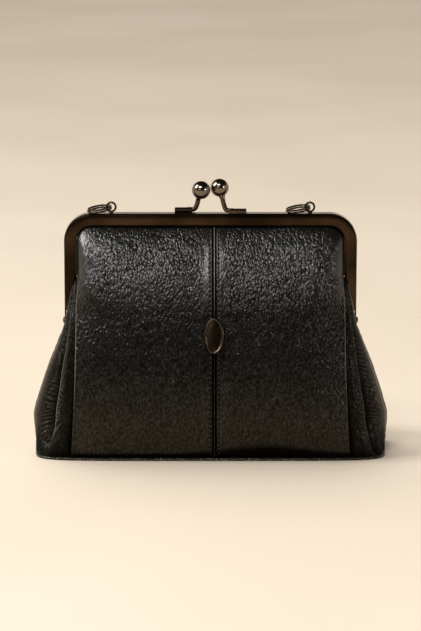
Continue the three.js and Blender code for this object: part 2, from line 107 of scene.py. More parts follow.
class Tree:
    """A node tree with short ways to add to it. place is the coordinate that its patterns are read from."""

    def __init__(self, node_tree, coordinate="Object"):
        self.nodes = node_tree.nodes
        self.links = node_tree.links
        self.place = self.node("ShaderNodeTexCoord").outputs[coordinate]

    def join(self, value, socket):
        """Links an output to a socket, or sets the socket if the value is a plain number or colour."""
        if isinstance(value, bpy.types.NodeSocket):
            self.links.new(value, socket)
        else:
            socket.default_value = value

    def node(self, kind, settings=None, **inputs):
        """A node with its settings made and its inputs joined."""
        made = self.nodes.new(kind)
        for key, value in (settings or {}).items():
            setattr(made, key, value)
        for key, value in inputs.items():
            self.join(value, made.inputs[key.replace("_", " ")])
        return made

    def math(self, operation, *values, kind="ShaderNodeMath"):
        """One Math node on the values."""
        made = self.node(kind, {"operation": operation})
        for value, socket in zip(values, made.inputs):
            self.join(value, socket)
        return made.outputs[0]

    def vector_math(self, operation, *values):
        """One Vector Math node on the values."""
        return self.math(operation, *values, kind="ShaderNodeVectorMath")

    def times(self, a, b):
        """a * b."""
        return self.math("MULTIPLY", a, b)

    def parts(self, vector):
        """The X, Y and Z of a vector."""
        return self.node("ShaderNodeSeparateXYZ", None, Vector=vector).outputs

    def stretch(self, vector, scale):
        """The vector with each of its parts multiplied by its own number."""
        return self.vector_math("MULTIPLY", vector, scale)

    def slanted(self, vector, scale, slant):
        """The vector stretched like stretch does, with slant times its Z added to its X."""
        x, y, z = self.parts(self.stretch(vector, scale))
        x = self.math("MULTIPLY_ADD", z, slant, x)
        return self.node("ShaderNodeCombineXYZ", None, X=x, Y=y, Z=z).outputs[0]

    def noise(self, vector, scale, detail=2.0, roughness=0.5, colour=False):
        """Soft noise from about 0 to 1 with that many spots to the metre, as a number or a colour."""
        inputs = {"Vector": vector, "Scale": scale, "Detail": detail, "Roughness": roughness}
        return self.node("ShaderNodeTexNoise", None, **inputs).outputs[1 if colour else 0]

    def warp(self, vector, scale, amount):
        """The vector pushed about by a coloured noise: vector + amount * (noise - 0.5)."""
        push = self.vector_math("SUBTRACT", self.noise(vector, scale, colour=True), (0.5, 0.5, 0.5))
        return self.vector_math("MULTIPLY_ADD", push, (amount, amount, amount), vector)

    def ramp(self, value, low, high, start=0.0, end=1.0):
        """The value eased from low..high to start..end, and held outside."""
        made = self.node("ShaderNodeMapRange", {"interpolation_type": "SMOOTHSTEP"}, Value=value)
        for key, number in zip(("From Min", "From Max", "To Min", "To Max"), (low, high, start, end)):
            self.join(number, made.inputs[key])
        return made.outputs[0]

    def mixed(self, share, a, b):
        """The colour a + share * (b - a)."""
        made = self.node("ShaderNodeMix", {"data_type": "RGBA"})
        for value, index in zip((share, a, b), (0, 6, 7)):
            self.join(value, made.inputs[index])
        return made.outputs[2]

    def mark(self, name):
        """A named number that the points of a piece carry."""
        return self.node("ShaderNodeAttribute", {"attribute_name": name}).outputs["Fac"]

    def bump(self, height, distance, strength=1.0):
        """The surface's direction, tilted as if it stood out by height times distance in metres."""
        inputs = {"Height": height, "Distance": distance, "Strength": strength}
        return self.node("ShaderNodeBump", None, **inputs).outputs[0]


class Finish(Tree):
    """A material with one shader. Values that are the same all over are set when it is made."""

    def __init__(self, name, **surface):
        self.material = bpy.data.materials.new(name)
        self.material.use_nodes = True
        super().__init__(self.material.node_tree)
        self.shader = self.nodes["Principled BSDF"]
        self.end(**surface)

    def end(self, **values):
        """Sets or links the shader's inputs and gives the material."""
        for socket, value in values.items():
            self.join(value, self.shader.inputs[socket.replace("_", " ")])
        return self.material


print("node helpers ready")

# %% [markdown]
# ## Studio
# The light is soft: a large panel high on the left that draws the highlights on the crown of the leather,
# a small one low on the right, two wide dim ones in front, one high and one low, and a high soft sun that
# keeps the floor pale right back to the horizon. Polished metal shows whatever stands round it, so the sky
# is part of the light: pale low down at the back and the sides, dark above and in front. The camera itself
# sees it plain and pale.

# %% Lamps and sky
LAMPS = {  # direction from the bag, width and height in metres, power in watts, colour
    "left_panel": ((-0.755, -0.10, 0.65), 1.0, 1.6, 110, (1.0, 0.98, 0.95)),
    "right_panel": ((0.80, -0.55, 0.24), 0.4, 0.7, 19, (1.0, 0.95, 0.88)),
    "front_panel": ((-0.20, -0.66, 0.76), 1.5, 0.6, 50, (1.0, 0.97, 0.93)),
    "low_panel": ((-0.35, -0.86, 0.33), 1.2, 0.5, 5.5, (1.0, 0.97, 0.92)),
}
LAMP_DISTANCE = 3.0
SUN_FROM = Vector((-0.25, 0.55, 1.0))
SUN_STRENGTH = 3.7
SUN_SPREAD = math.radians(50)
SUN_COLOUR = (1.0, 0.96, 0.90)
SKY_SHOWN = (0.80, 0.70, 0.57, 1)
SKY_PALE = (1.05, 0.93, 0.76, 1)
SKY_DARK = (0.030, 0.026, 0.022, 1)
PALE_UP_TO = (0.14, 0.58, 1.0, 0.0)  # height in the sky where the pale band fades out
PALE_BEHIND = (-0.75, 0.05)  # from in front of the bag to beside it, where it fades in


def add_lamp(name, kind, colour, place):
    """A lamp aimed at the bag, which the camera doesn't see. Gives its settings."""
    lamp = bpy.data.objects.new(name, bpy.data.lights.new(name, kind))
    lamp.data.color = colour
    lamp.location = place
    lamp.visible_camera = False
    look_at(lamp, CAMERA_TARGET)
    scene.collection.objects.link(lamp)
    return lamp.data


for name, (direction, width, height, power, colour) in LAMPS.items():
    place = CAMERA_TARGET + LAMP_DISTANCE * Vector(direction).normalized()
    panel_light = add_lamp(name, "AREA", colour, place)
    panel_light.shape = "RECTANGLE"
    panel_light.size, panel_light.size_y = width, height
    panel_light.energy = power
sun = add_lamp("sun", "SUN", SUN_COLOUR, CAMERA_TARGET + SUN_FROM)
sun.energy, sun.angle = SUN_STRENGTH, SUN_SPREAD
bpy.data.objects["sun"].visible_glossy = False

scene.world = bpy.data.worlds.new("sky")
scene.world.use_nodes = True
sky = Tree(scene.world.node_tree, "Generated")
_, back, up = sky.parts(sky.place)
surround = sky.times(sky.ramp(up, *PALE_UP_TO), sky.ramp(back, *PALE_BEHIND))
lit = sky.mixed(surround, SKY_DARK, SKY_PALE)
shown = sky.mixed(sky.node("ShaderNodeLightPath").outputs["Is Camera Ray"], lit, SKY_SHOWN)
sky.join(shown, sky.nodes["Background"].inputs["Color"])
print(len(LAMPS) + 1, "lamps")

# %% [markdown]
# ### Leather
# The hide is shrunken and dyed nearly black: rounded pebbles one and a half millimetres wide and twice as
# tall, leaning a little to the right and parted by creases, under a thin gloss. An image would give this at
# once but would carry someone's hide with it, so the pebbles are cells of a Voronoi texture, warped so that
# no edge is straight. Fine wrinkles on them break the gloss into flecks, and pores roughen the rest.
#
# Towards the base the hide is ironed smoother, and it is painted browner there as a painted reflection of
# the warm floor in front. It is pulled flat beside the middle seam and on the shoulders under the frame.
# Two numbers on the points add painted light and shade that belong to one place: one makes the hide dark
# and dull, a painted shade in folds, grooves, at the foot and under the frame, and the other makes it pale,
# partly wear on edges that hands rub and partly a painted highlight.

# %% Leather
LEATHER_BLACK = (0.0024, 0.0020, 0.0014, 1)
LEATHER_BROWN = (0.0098, 0.0070, 0.0030, 1)
# Pale colour mixed in, partly for rubbed edges and partly as painted highlights on lips, welts and wrinkle
# crests.
LEATHER_RUBBED_AND_HIGHLIT = (0.150, 0.132, 0.106, 1)
# Black mixed in as painted shade in creases, grooves, folds and under the frame.
LEATHER_PAINTED_SHADE = (0.0, 0.0, 0.0, 1)
GRAIN_SCALE, WRINKLE_SCALE, PORE_SCALE, PATCH_SCALE = 500, 620, 2400, 38
GRAIN_SHAPE, GRAIN_SLANT = (1.30, 0.9, 0.58), -0.40
WARPS = ((110, 0.006), (420, 0.0016))  # spots to the metre, push in metres
WELT_X = SEAM_X + 0.2
# The bands below are low, high and the values there, with heights and widths in metres.
GRAIN_UP = (0.030, 0.110)
SEAM_STRIP = (0.005, 0.011, 0.3, 1.0)
SHOULDER_ACROSS, SHOULDER_UP, SHOULDER_GRAIN = (0.078, 0.086), (0.118, 0.130), 0.35
PATCH_GRAIN = (0.3, 0.7, 0.7, 1.2)
CREASE_EDGE, CREASE_UP = (0.0, 0.13, 1.0, 0.0), (0.050, 0.100, 0.65, 1.0)
# Heights over which the painted brown reflection low down fades to black; random brown patches.
PAINTED_REFLECTION_FADE, PATCH_BROWN = (0.018, 0.066), (0.35, 0.75, 0.0, 0.12)
SMOOTH_UP, CREASE_ROUGH, PATCH_ROUGH = (0.090, 0.125, 0.19, 0.25), 0.5, 0.08
GLOSS_CROWN, GLOSS_FOOT, CREASE_GLOSS = (0.090, 0.140, 0.15, 0.56), (0.030, 0.075, 0.25, 0.22), 0.06
FLECKS, FLECKS_UP = (0.35, 0.65, 0.3, 1.4), (0.060, 0.110, 1.0, 0.0)


def grain_depth(tree, patches, low_grain):
    """How deep the grain is: less low down, beside the middle seam and on the shoulders, and patchy."""
    across, _, height = tree.parts(tree.place)
    from_seam = tree.math("ABSOLUTE", tree.math("SUBTRACT", across, WELT_X * MM))
    depth = tree.times(tree.ramp(height, *GRAIN_UP, low_grain), tree.ramp(from_seam, *SEAM_STRIP))
    depth = tree.times(depth, tree.ramp(patches, *PATCH_GRAIN))
    shoulder = tree.ramp(tree.math("ABSOLUTE", across), *SHOULDER_ACROSS)
    shoulder = tree.times(shoulder, tree.ramp(height, *SHOULDER_UP))
    return tree.times(depth, tree.ramp(shoulder, 0.0, 1.0, 1.0, SHOULDER_GRAIN))


def pebbles(tree, depth):
    """Relief, creases and wrinkles of the grain. The relief is depth * (wrinkle / 2 - d^2) + pores / 50,
    where d is the distance from the middle of the pebble, and a crease follows the edges between them."""
    skin = tree.place
    for scale, push in WARPS:
        skin = tree.warp(skin, scale, push)
    skin = tree.slanted(skin, GRAIN_SHAPE, GRAIN_SLANT)
    cells = {"Vector": skin, "Scale": GRAIN_SCALE}
    dome = tree.node("ShaderNodeTexVoronoi", {"feature": "SMOOTH_F1"}, Smoothness=0.25, **cells)
    edge = tree.node("ShaderNodeTexVoronoi", {"feature": "DISTANCE_TO_EDGE"}, **cells)
    wrinkle = tree.noise(skin, WRINKLE_SCALE, 2, 0.6)
    away = dome.outputs["Distance"]
    relief = tree.math("MULTIPLY_ADD", tree.times(away, away), -1.0, tree.times(wrinkle, 0.5))
    pores = tree.noise(tree.place, PORE_SCALE, 2)
    relief = tree.math("MULTIPLY_ADD", pores, 0.02, tree.times(relief, depth))
    return relief, tree.times(tree.ramp(edge.outputs["Distance"], *CREASE_EDGE), depth), wrinkle


def leather_material(name, bump=0.00062, blackness=0.0, shine=1.0, flat_gloss=0.0, low_grain=0.85):
    """Pebbled leather. bump is the depth of the grain in metres and low_grain the share of it that is left at
    the foot. blackness hides the painted brown reflection of the lower part, shine scales the gloss, and
    flat_gloss is the least that the gloss may be."""
    tree = Finish(name)
    height = tree.parts(tree.place)[2]
    patches = tree.noise(tree.place, PATCH_SCALE, 3)
    relief, crease, wrinkle = pebbles(tree, grain_depth(tree, patches, low_grain))
    crease = tree.times(crease, tree.ramp(height, *CREASE_UP))
    painted_shade = tree.mark("painted_shade")
    # Painted shade: in the creases of the grain and wherever the points carry painted shade, the leather is
    # made dark and dull.
    dark = tree.math("MAXIMUM", crease, painted_shade)

    # Painted reflection: the hide is painted brown low down, as the warm floor in front shows in it, and black
    # higher up.
    colour = tree.mixed(tree.ramp(height, *PAINTED_REFLECTION_FADE), LEATHER_BROWN, LEATHER_BLACK)
    colour = tree.mixed(tree.ramp(patches, *PATCH_BROWN), colour, LEATHER_BROWN)
    colour = tree.mixed(blackness, colour, LEATHER_BLACK)
    # Painted shade: the colour goes towards black in the creases and where the points carry painted shade.
    shade = tree.math("MAXIMUM", tree.times(painted_shade, 0.9), tree.times(crease, 0.4))
    # Pale where the points carry it: partly rubbed wear, partly a painted highlight.
    colour = tree.mixed(tree.mark("rub_and_highlight"), tree.mixed(shade, colour, LEATHER_PAINTED_SHADE), LEATHER_RUBBED_AND_HIGHLIT)

    rough = tree.ramp(dark, 0.0, 1.0, tree.ramp(height, *SMOOTH_UP), CREASE_ROUGH)
    rough = tree.math("MULTIPLY_ADD", patches, PATCH_ROUGH, rough)
    gloss = tree.math("MAXIMUM", tree.ramp(height, *GLOSS_CROWN), tree.ramp(height, *GLOSS_FOOT))
    gloss = tree.math("MAXIMUM", tree.times(gloss, shine), flat_gloss)
    flecks = tree.math("POWER", tree.ramp(wrinkle, *FLECKS), tree.ramp(height, *FLECKS_UP))
    gloss = tree.times(tree.times(gloss, flecks), tree.ramp(dark, 0.0, 1.0, 1.0, CREASE_GLOSS))
    skin = tree.bump(relief, bump)
    return tree.end(Base_Color=colour, Roughness=rough, Specular_IOR_Level=gloss, Normal=skin)


leather = leather_material("pebbled_leather")
fold_leather = leather_material("folded_leather", bump=0.00030, blackness=0.65, shine=0.45)
edge_leather = leather_material("edge_leather", bump=0.00008, flat_gloss=0.15)
base_leather = leather_material("base_leather", low_grain=1.0, flat_gloss=0.5)
print("four leathers ready")

# %% [markdown]
# ### Metal
# The frame, the rings and the fittings are plated in a dark bronze, close to gunmetal: a mirror with a
# brown tint, dulled a little where hands rub it. A plain dark mirror would look like plastic, so the
# roughness varies in soft patches, the plating is thicker and darker in long clouds, and a very faint bump
# breaks up the long reflections.

# %% Metal and thread
CLOUD_SHAPE, CLOUD_SCALE, CLOUD_BAND = (0.6, 1.0, 0.6), 42, (0.35, 0.65)
RUB_SCALE, SCUFF_SCALE, WAVE_SCALE = 90, 900, 120
WAVE_DEPTH, WAVE_STRENGTH = 0.0002, 0.25


def metal_material(name, colour, roughness, wear=0.10, clouds=0.0):
    """Dark plated metal: roughness plus wear times a soft noise and a third of it times a fine one, a faint
    waviness, and a colour that varies by the share clouds up and down."""
    tree = Finish(name, Metallic=1.0)
    cloud = tree.noise(tree.stretch(tree.place, CLOUD_SHAPE), CLOUD_SCALE, 2)
    darker, lighter = (tuple(c * (1 + step) for c in colour[:3]) + (1,) for step in (-clouds, clouds))
    shade = tree.mixed(tree.ramp(cloud, *CLOUD_BAND), darker, lighter)
    rub_and_highlight, scuff = tree.noise(tree.place, RUB_SCALE, 3), tree.noise(tree.place, SCUFF_SCALE, 3, 0.6)
    rough = tree.math("MULTIPLY_ADD", rub_and_highlight, wear, roughness - wear / 2)
    rough = tree.math("MULTIPLY_ADD", scuff, wear / 3, rough)
    wave = tree.math("MULTIPLY_ADD", scuff, 0.15, tree.noise(tree.place, WAVE_SCALE, 1))
    return tree.end(Base_Color=shade, Roughness=rough, Normal=tree.bump(wave, WAVE_DEPTH, WAVE_STRENGTH))


frame_metal = metal_material("dark_bronze", (0.031, 0.0185, 0.0100, 1), 0.22, clouds=0.5)
fitting_metal = metal_material("fitting_bronze", (0.085, 0.060, 0.042, 1), 0.20, clouds=0.35)
ring_metal = metal_material("ring_bronze", (0.050, 0.035, 0.024, 1), 0.20, clouds=0.35)
ball_metal = metal_material("polished_gunmetal", (0.155, 0.128, 0.100, 1), 0.17, 0.05, clouds=0.1)

THREAD_DARK, THREAD_LIT = (0.0020, 0.0018, 0.0014, 1), (0.026, 0.023, 0.019, 1)
THREAD_UP = (0.07, 0.12)
TWIST_SHAPE, TWIST_SCALE, TWIST_DEPTH = (2.0, 2.0, 1.0), 2400, 0.0002
FLOOR_COLOUR = (0.45, 0.395, 0.33, 1)
FLOOR_SHADE = (0.42, 0.365, 0.30, 1)
FLOOR_CLOUD_SCALE = 2.2


def thread_material():
    """Black waxed thread, twisted, and painted paler higher up as a painted highlight, where more light falls
    on it.
    """
    tree = Finish("black_thread", Roughness=0.42, Specular_IOR_Level=0.35)
    # Painted highlight: the thread's colour goes from dark low down to lit higher up.
    shade = tree.mixed(tree.ramp(tree.parts(tree.place)[2], *THREAD_UP), THREAD_DARK, THREAD_LIT)
    twist = tree.noise(tree.stretch(tree.place, TWIST_SHAPE), TWIST_SCALE, 1)
    return tree.end(Base_Color=shade, Normal=tree.bump(twist, TWIST_DEPTH, 0.5))


def floor_material():
    """A pale matt floor with faint clouds."""
    tree = Finish("pale_floor", Roughness=0.75, Specular_IOR_Level=0.25)
    cloud = tree.ramp(tree.noise(tree.place, FLOOR_CLOUD_SCALE, 2), 0.3, 0.7)
    return tree.end(Base_Color=tree.mixed(cloud, FLOOR_COLOUR, FLOOR_SHADE))


thread, floor_finish = thread_material(), floor_material()
print("metals, thread and floor ready")

# %% [markdown]
# ## Surfaces from arrays
# Every piece is worked out in millimetres as an array of points and turned into a mesh at the end. Most are
# lofts: a closed section is carried along the piece, so the points are a grid of rows (sections) by columns
# (round the section), and the two end sections are closed with one flat face each.

# %% Mesh helpers


def unit(vectors):
    """Vectors of length one, along the last axis."""
    return vectors / np.maximum(np.linalg.norm(vectors, axis=-1, keepdims=True), 1e-12)


def ease(value, low, high):
    """0 below low, 1 above high and 3t^2 - 2t^3 between."""
    t = np.clip((np.asarray(value, float) - low) / (high - low), 0, 1)
    return t * t * (3 - 2 * t)


def near(value, middle, width):
    """1 at the middle and falling off on both sides as exp(-((value - middle) / width)^2)."""
    return np.exp(-(((value - middle) / width) ** 2))


def circle(steps):
    """Angles at even steps once round."""
    return np.linspace(0, 2 * np.pi, steps, endpoint=False)


def lengths(points, axis=0):
    """Distance run along a line of points, or along a grid's rows or columns, from 0."""
    steps = np.linalg.norm(np.diff(points, axis=axis), axis=-1)
    return np.insert(np.cumsum(steps, axis=axis), 0, 0, axis=axis)


def loft(points, closed_path=False):
    """Points (rows, columns, 3) of a closed section on its path, as vertices and faces. Each cell of the grid
    is a face of four corners. The two end sections are closed with one face each, unless the path closes."""
    rows, columns = points.shape[:2]
    r = np.arange(rows if closed_path else rows - 1)[:, None]
    c = np.arange(columns)[None, :]
    r_next, c_next = (r + 1) % rows, (c + 1) % columns
    corners = [r * columns + c, r * columns + c_next, r_next * columns + c_next, r_next * columns + c]
    faces = np.stack(np.broadcast_arrays(*corners), axis=-1).reshape(-1, 4).tolist()
    if not closed_path:
        first = np.arange(columns)
        faces += [first[::-1].tolist(), (first + (rows - 1) * columns).tolist()]
    return points.reshape(-1, 3), faces


def joined(*shells):
    """Several closed shells in one mesh."""
    starts = np.cumsum([0] + [len(points) for points, _ in shells])
    faces = [[v + start for v in face] for start, (_, shell) in zip(starts, shells) for face in shell]
    return np.concatenate([points for points, _ in shells]), faces


def make_piece(name, vertices_and_faces, finish, replaces=(), body="bag", sharp=50, marks=None):
    """A smooth piece from points in millimetres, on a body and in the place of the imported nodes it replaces.
    Its faces are turned outwards, and turned over if the volume they hold still comes out negative, as it can
    on a folded wall. Edges sharper than the angle sharp stay crisp. marks are named numbers for every point,
    which the finish can read."""
    points, faces = vertices_and_faces
    mesh = bpy.data.meshes.new(name)
    mesh.from_pydata((points * MM).tolist(), [], faces)
    work = bmesh.new()
    work.from_mesh(mesh)
    bmesh.ops.recalc_face_normals(work, faces=work.faces)
    if work.calc_volume(signed=True) < 0:
        bmesh.ops.reverse_faces(work, faces=work.faces)
    work.to_mesh(mesh)
    work.free()
    mesh.polygons.foreach_set("use_smooth", np.ones(len(mesh.polygons), bool))
    mesh.set_sharp_from_angle(angle=math.radians(sharp))
    for key, values in (marks or {}).items():
        mark = mesh.attributes.new(key, "FLOAT", "POINT")
        mark.data.foreach_set("value", np.ravel(values).astype(np.float32))
    mesh.materials.append(finish)
    piece = bpy.data.objects.new(name, mesh)
    scene.collection.objects.link(piece)
    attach(piece, body)
    if replaces:
        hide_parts(*replaces)
    low, high = points.min(0), points.max(0)
    print(f"{name}: {len(faces)} faces, from {np.round(low, 1)} to {np.round(high, 1)} mm")


print("mesh helpers ready")

# %% [markdown]
# ## Curves and noise
# The body was designed as a short table of levels. Straight lines between them would show as bands, and a
# plain spline would overshoot where two levels are close, so the curve used here takes its slope at each
# level from both neighbours and never passes them. A soft noise, read at the points' own places, then lets
# the smooth result swell and sink. A wall gets its thickness here too, by setting its smooth face back.

# %% Smooth curves, noise and walls
RIM_STEPS = 5


def smooth_through(knots, values, at):
    """Cubic curve through the knots that never overshoots: the slope at a knot is the harmonic mean of the
    slopes on its two sides, or zero where one rises and the other falls."""
    knots, values = np.asarray(knots, float), np.asarray(values, float)
    steps = np.diff(knots)
    slopes = np.diff(values) / steps
    product, total = slopes[:-1] * slopes[1:], slopes[:-1] + slopes[1:]
    inner = np.where(product > 0, 2 * product / np.where(product > 0, total, 1), 0)
    tangent = np.concatenate([slopes[:1], inner, slopes[-1:]])
    i = np.clip(np.searchsorted(knots, at) - 1, 0, len(steps) - 1)
    t = np.clip((at - knots[i]) / steps[i], 0, 1)
    from_start = values[i] * (1 + 2 * t) + tangent[i] * steps[i] * t
    from_end = values[i + 1] * (3 - 2 * t) - tangent[i + 1] * steps[i] * (1 - t)
    return from_start * (1 - t) ** 2 + from_end * t**2


def lattice(corner, seed):
    """A repeatable number from 0 to 1 for each whole-number corner: its parts are multiplied by odd numbers
    and added, and the bits of the sum are mixed by shifting and multiplying."""
    n = (corner @ np.array([374761393, 668265263, 1440662683]) + seed * 974634777) & 0xFFFFFFFF
    n = ((n ^ (n >> 13)) * 1274126177) & 0xFFFFFFFF
    return ((n ^ (n >> 16)) & 0xFFFFFF) / 0xFFFFFF


def soft_noise(points, size, seed=0):
    """Noise from -1 to 1 that changes over about the given size: the eight lattice numbers round a point,
    each weighted by how near its corner is."""
    scaled = points / size
    base = np.floor(scaled).astype(np.int64)
    share = ease(scaled - base, 0, 1)
    total = 0
    for corner in itertools.product((0, 1), repeat=3):
        weight = np.prod(np.where(corner, share, 1 - share), axis=-1)
        total = total + weight * lattice(base + np.array(corner), seed)
    return 2 * total - 1


def grid_normals(points):
    """Outward directions of a grid whose rows climb and whose columns run to the right as seen from outside:
    the cross product of the two directions along the grid."""
    return unit(np.cross(np.gradient(points, axis=1), np.gradient(points, axis=0)))


def wall(smooth, lift, marks, thickness, inner_columns):
    """A closed wall and its marks, from its smooth outer face, a grid as in grid_normals. The outer face
    stands off by the lift, along the grid's normals. Each row becomes one closed section: the outer line, a
    half round rim, the smooth line set back by the thickness at a few columns, and a rim. In the marks, the
    rims take their edge's number and the inner face has none."""
    normals = grid_normals(smooth)
    outer, inner = smooth + lift[..., None] * normals, smooth - thickness * normals
    picked = np.linspace(smooth.shape[1] - 1, 0, inner_columns).round().astype(int)
    turn = np.linspace(0, np.pi, RIM_STEPS + 2)[1:-1, None]

    def rim(end, before):
        """Middle + cos v * half the thickness + sin v * the same outwards, at one end of every row."""
        half = (outer[:, end] - inner[:, end])[:, None] / 2
        outward = unit(smooth[:, end] - smooth[:, before])[:, None] * thickness / 2
        return (outer[:, end] + inner[:, end])[:, None] / 2 + np.cos(turn) * half + np.sin(turn) * outward

    def spread(values):
        """The numbers of the outer face, laid out like the points of the wall."""
        ends = [np.repeat(values[:, [end]], RIM_STEPS, axis=1) for end in (-1, 0)]
        return np.concatenate([values, ends[0], np.zeros((len(values), inner_columns)), ends[1]], axis=1)

    shape = loft(np.concatenate([outer, rim(-1, -2), inner[:, picked], rim(0, 1)[:, ::-1]], axis=1))
    return shape, {name: spread(values) for name, values in marks.items()}


print("curves, noise and walls ready")

# %% [markdown]
# ## The leather body
# The table gives eight levels from the base to where the side seams slip into the frame, and seven more
# inside the frame, where only the middle of the panels still swells. A maker would cut flat patterns and
# let the hide find this shape; here the shape is given and the hide's own marks are added to it.

# %% Levels of the body
LEATHER = 1.4
LEVEL_NAMES = (
    "z", "seam_x", "seam_depth", "middle_depth", "fold_x", "fold_depth", "fold_z",
    "tuck_x", "tuck_depth", "tuck_z", "roll_x", "roll_depth", "roll_z", "crease_x", "crease_z", "spread",
)
LEVELS = dict(zip(LEVEL_NAMES, np.array([
    (2.1, 96.8, 41.6, 42.6, 121.0, 15.0, 2.1, 120.9, 10.9, 2.1, 121.2, 7.5, 2.1, 120.6, 2.1, 1),
    (14, 96.0, 41.4, 45.8, 122.8, 15.0, 13, 121.6, 10.9, 12.7, 121.1, 7.5, 12.5, 118.5, 12, 0.45),
    (30, 95.2, 40.1, 47.2, 123.8, 14.5, 26, 122.2, 10.6, 25.7, 121.3, 7.3, 25.5, 118.0, 25, 0),
    (55, 94.2, 36.6, 46.4, 116.0, 13.5, 54, 114.5, 9.9, 53.2, 113.6, 6.8, 52.5, 110.5, 51, 0),
    (76, 93.7, 31.5, 44.1, 107.8, 12.0, 75, 106.6, 8.8, 73.9, 106.0, 6.0, 73, 103.5, 71, 0),
    (94, 93.6, 24.7, 40.2, 101.8, 10.8, 91, 100.8, 8.0, 88.5, 100.4, 5.4, 86, 98.2, 81, 0),
    (106, 93.6, 18.0, 36.6, 99.8, 9.7, 101.5, 100.0, 8.2, 97.6, 99.0, 4.8, 94, 96.9, 90, 0),
    (121.5, 93.2, 7.8, 30.6, 95.9, 8.8, 118, 98.8, 8.2, 100, 98.1, 4.6, 96.4, 97.0, 95, 0.4),
]).T))
ENTRY_Z, ENTRY_X, ENTRY_DEPTH, ENTRY_MIDDLE = 124.3, 93.2, 4.3, 29.4
CHANNEL_Z = (125.8, 134, 144, 152, 156.5, 158.6, 161.6)
CHANNEL_MIDDLE = (28.7, 24.6, 19.0, 13.0, 8.0, 4.2, 3.95)
CHANNEL_DEPTH = 3.95
FREE_EDGE, FREE_CORNER = 93.2, 11.0
HELD_EDGE, HELD_CORNER = 96.4, 14.2
CORNER_X, CORNER_Z = 82.2, 147.5
CROWN_FROM, CROWN_TO = 96, 124
POWER_LOW, POWER_HIGH, ROOT_LOW, ROOT_HIGH = 7, 12, 1, 0.5

KNOT_Z = np.concatenate([LEVELS["z"], [ENTRY_Z], CHANNEL_Z])
SEWN_Z = KNOT_Z[: len(LEVELS["z"]) + 1]
SEWN_X = np.append(LEVELS["seam_x"], ENTRY_X)
EDGE_DEPTHS = np.concatenate([LEVELS["seam_depth"], [ENTRY_DEPTH], np.full(len(CHANNEL_Z), CHANNEL_DEPTH)])
MIDDLE_DEPTHS = np.concatenate([LEVELS["middle_depth"], [ENTRY_MIDDLE], CHANNEL_MIDDLE])


def rounded_edge(x, corner, z):
    """Half width of an upright outline with round upper corners: corner_x + sqrt(corner^2 - rise^2)."""
    rise = np.maximum(0, z - CORNER_Z)
    return np.where(rise > 0, CORNER_X + np.sqrt(np.maximum(0, corner**2 - rise**2)), x)


def panel_section(z):
    """Half width of the crown, half width of the edge, depth at the edge and depth in the middle."""
    crown = np.where(z < ENTRY_Z, smooth_through(SEWN_Z, SEWN_X, z), rounded_edge(FREE_EDGE, FREE_CORNER, z))
    opening = ease(z, ENTRY_Z, CHANNEL_Z[0])
    held = rounded_edge(HELD_EDGE, HELD_CORNER, z)
    edge = crown + opening * (held - crown)
    return crown, edge, smooth_through(KNOT_Z, EDGE_DEPTHS, z), smooth_through(KNOT_Z, MIDDLE_DEPTHS, z)


def panel_depth(x, z):
    """Distance of a panel from the middle plane: edge + (middle - edge) * (1 - |x / crown|^power)^root."""
    crown, _, edge_depth, middle_depth = panel_section(z)
    climb = ease(z, CROWN_FROM, CROWN_TO)
    power = POWER_LOW + (POWER_HIGH - POWER_LOW) * climb
    root = ROOT_LOW + (ROOT_HIGH - ROOT_LOW) * climb
    share = np.minimum(1, np.abs(x) / crown)
    return edge_depth + (middle_depth - edge_depth) * (1 - share**power) ** root


frame_low, frame_high = box_mm("front_frame")
FRAME_HALF, FRAME_TOP, FRAME_DEPTH = frame_high[0], frame_high[2], -frame_low[1]
print("frame half width, top and depth:", FRAME_HALF, FRAME_TOP, FRAME_DEPTH)

# %% [markdown]
# ### Panels
# A front panel is one piece of hide from the side seam to the middle seam. Its side edge is turned and
# shows as a raised lip; at the middle seam the hide rolls into a groove, and a row of stitches three
# millimetres away pulls it down, a little deeper at every needle hole. Four panels come from one function,
# and the noise is read at each panel's own place, so no two of them wrinkle alike. The marks are worked out
# from the same distances, so that painted shade lies in the grooves and a painted highlight on the lips.

# %% Panels
PANEL_ROWS, PANEL_INNER_COLUMNS = 250, 14
EDGE_BAND, EDGE_COLUMNS, MIDDLE_COLUMNS, SEAM_BAND, SEAM_COLUMNS = 4, 10, 110, 7, 30
STITCH_PITCH, STITCH_OFFSET, STITCH_START = 3.4, 2.9, 1.6
SEAM_HALF_GAP = 0.4
# Pushes outwards, with the distances or heights between which each fades; all in millimetres.
LIP, LIP_WIDTH, LIP_TOP = 0.5, (1.2, 3.6), (106, 116)
TURN, TURN_WIDTH, TURN_SHOULDER, SHOULDER_AT = -1.3, (0.9, 2.0), 0.15, (2.1, 0.4)
PUCKER, PUCKER_MEAN, PUCKER_LEAN, CHANNEL, CHANNEL_WIDTH = 0.34, 0.55, 0.5, 0.18, 0.75
FOOT, FOOT_TOP = -0.9, (2, 7)
FREE_OF_SEAM, FREE_OF_EDGE = (3.5, 9), (2.5, 8)
SWELLS = ((0.55, 32, 1), (0.22, 13, 2))  # depth, size, seed
RIPPLE, RIPPLE_SHAPE, RIPPLE_NOISE, RIPPLE_LEAST = 0.10, (0.6, 1.0, 1.0), (3.6, 3), 0.4
# Strengths of the painted shade and painted highlight marks, with where each one fades.
FRAME_SHADOW, FRAME_SHADOW_FROM = (0.5, 2.4), (120, 126)
FOOT_SHADE, FOOT_REACH, FOOT_REACH_MORE, FOOT_REACH_AT, FOOT_CORE = 0.92, 7.5, 9, (40, 36), 0.45
HOLE_ROW_WIDTH, HOLE_WIDTH, GROOVE_WIDTH = 0.8, (0.6, 0.95), (1.1, 2.0)
LIP_HIGHLIGHT, LIP_HIGHLIGHT_AT, LIP_HIGHLIGHT_UP, LIP_HIGHLIGHT_TOP = 0.55, (0.75, 0.38), (25, 75), (116, 126)


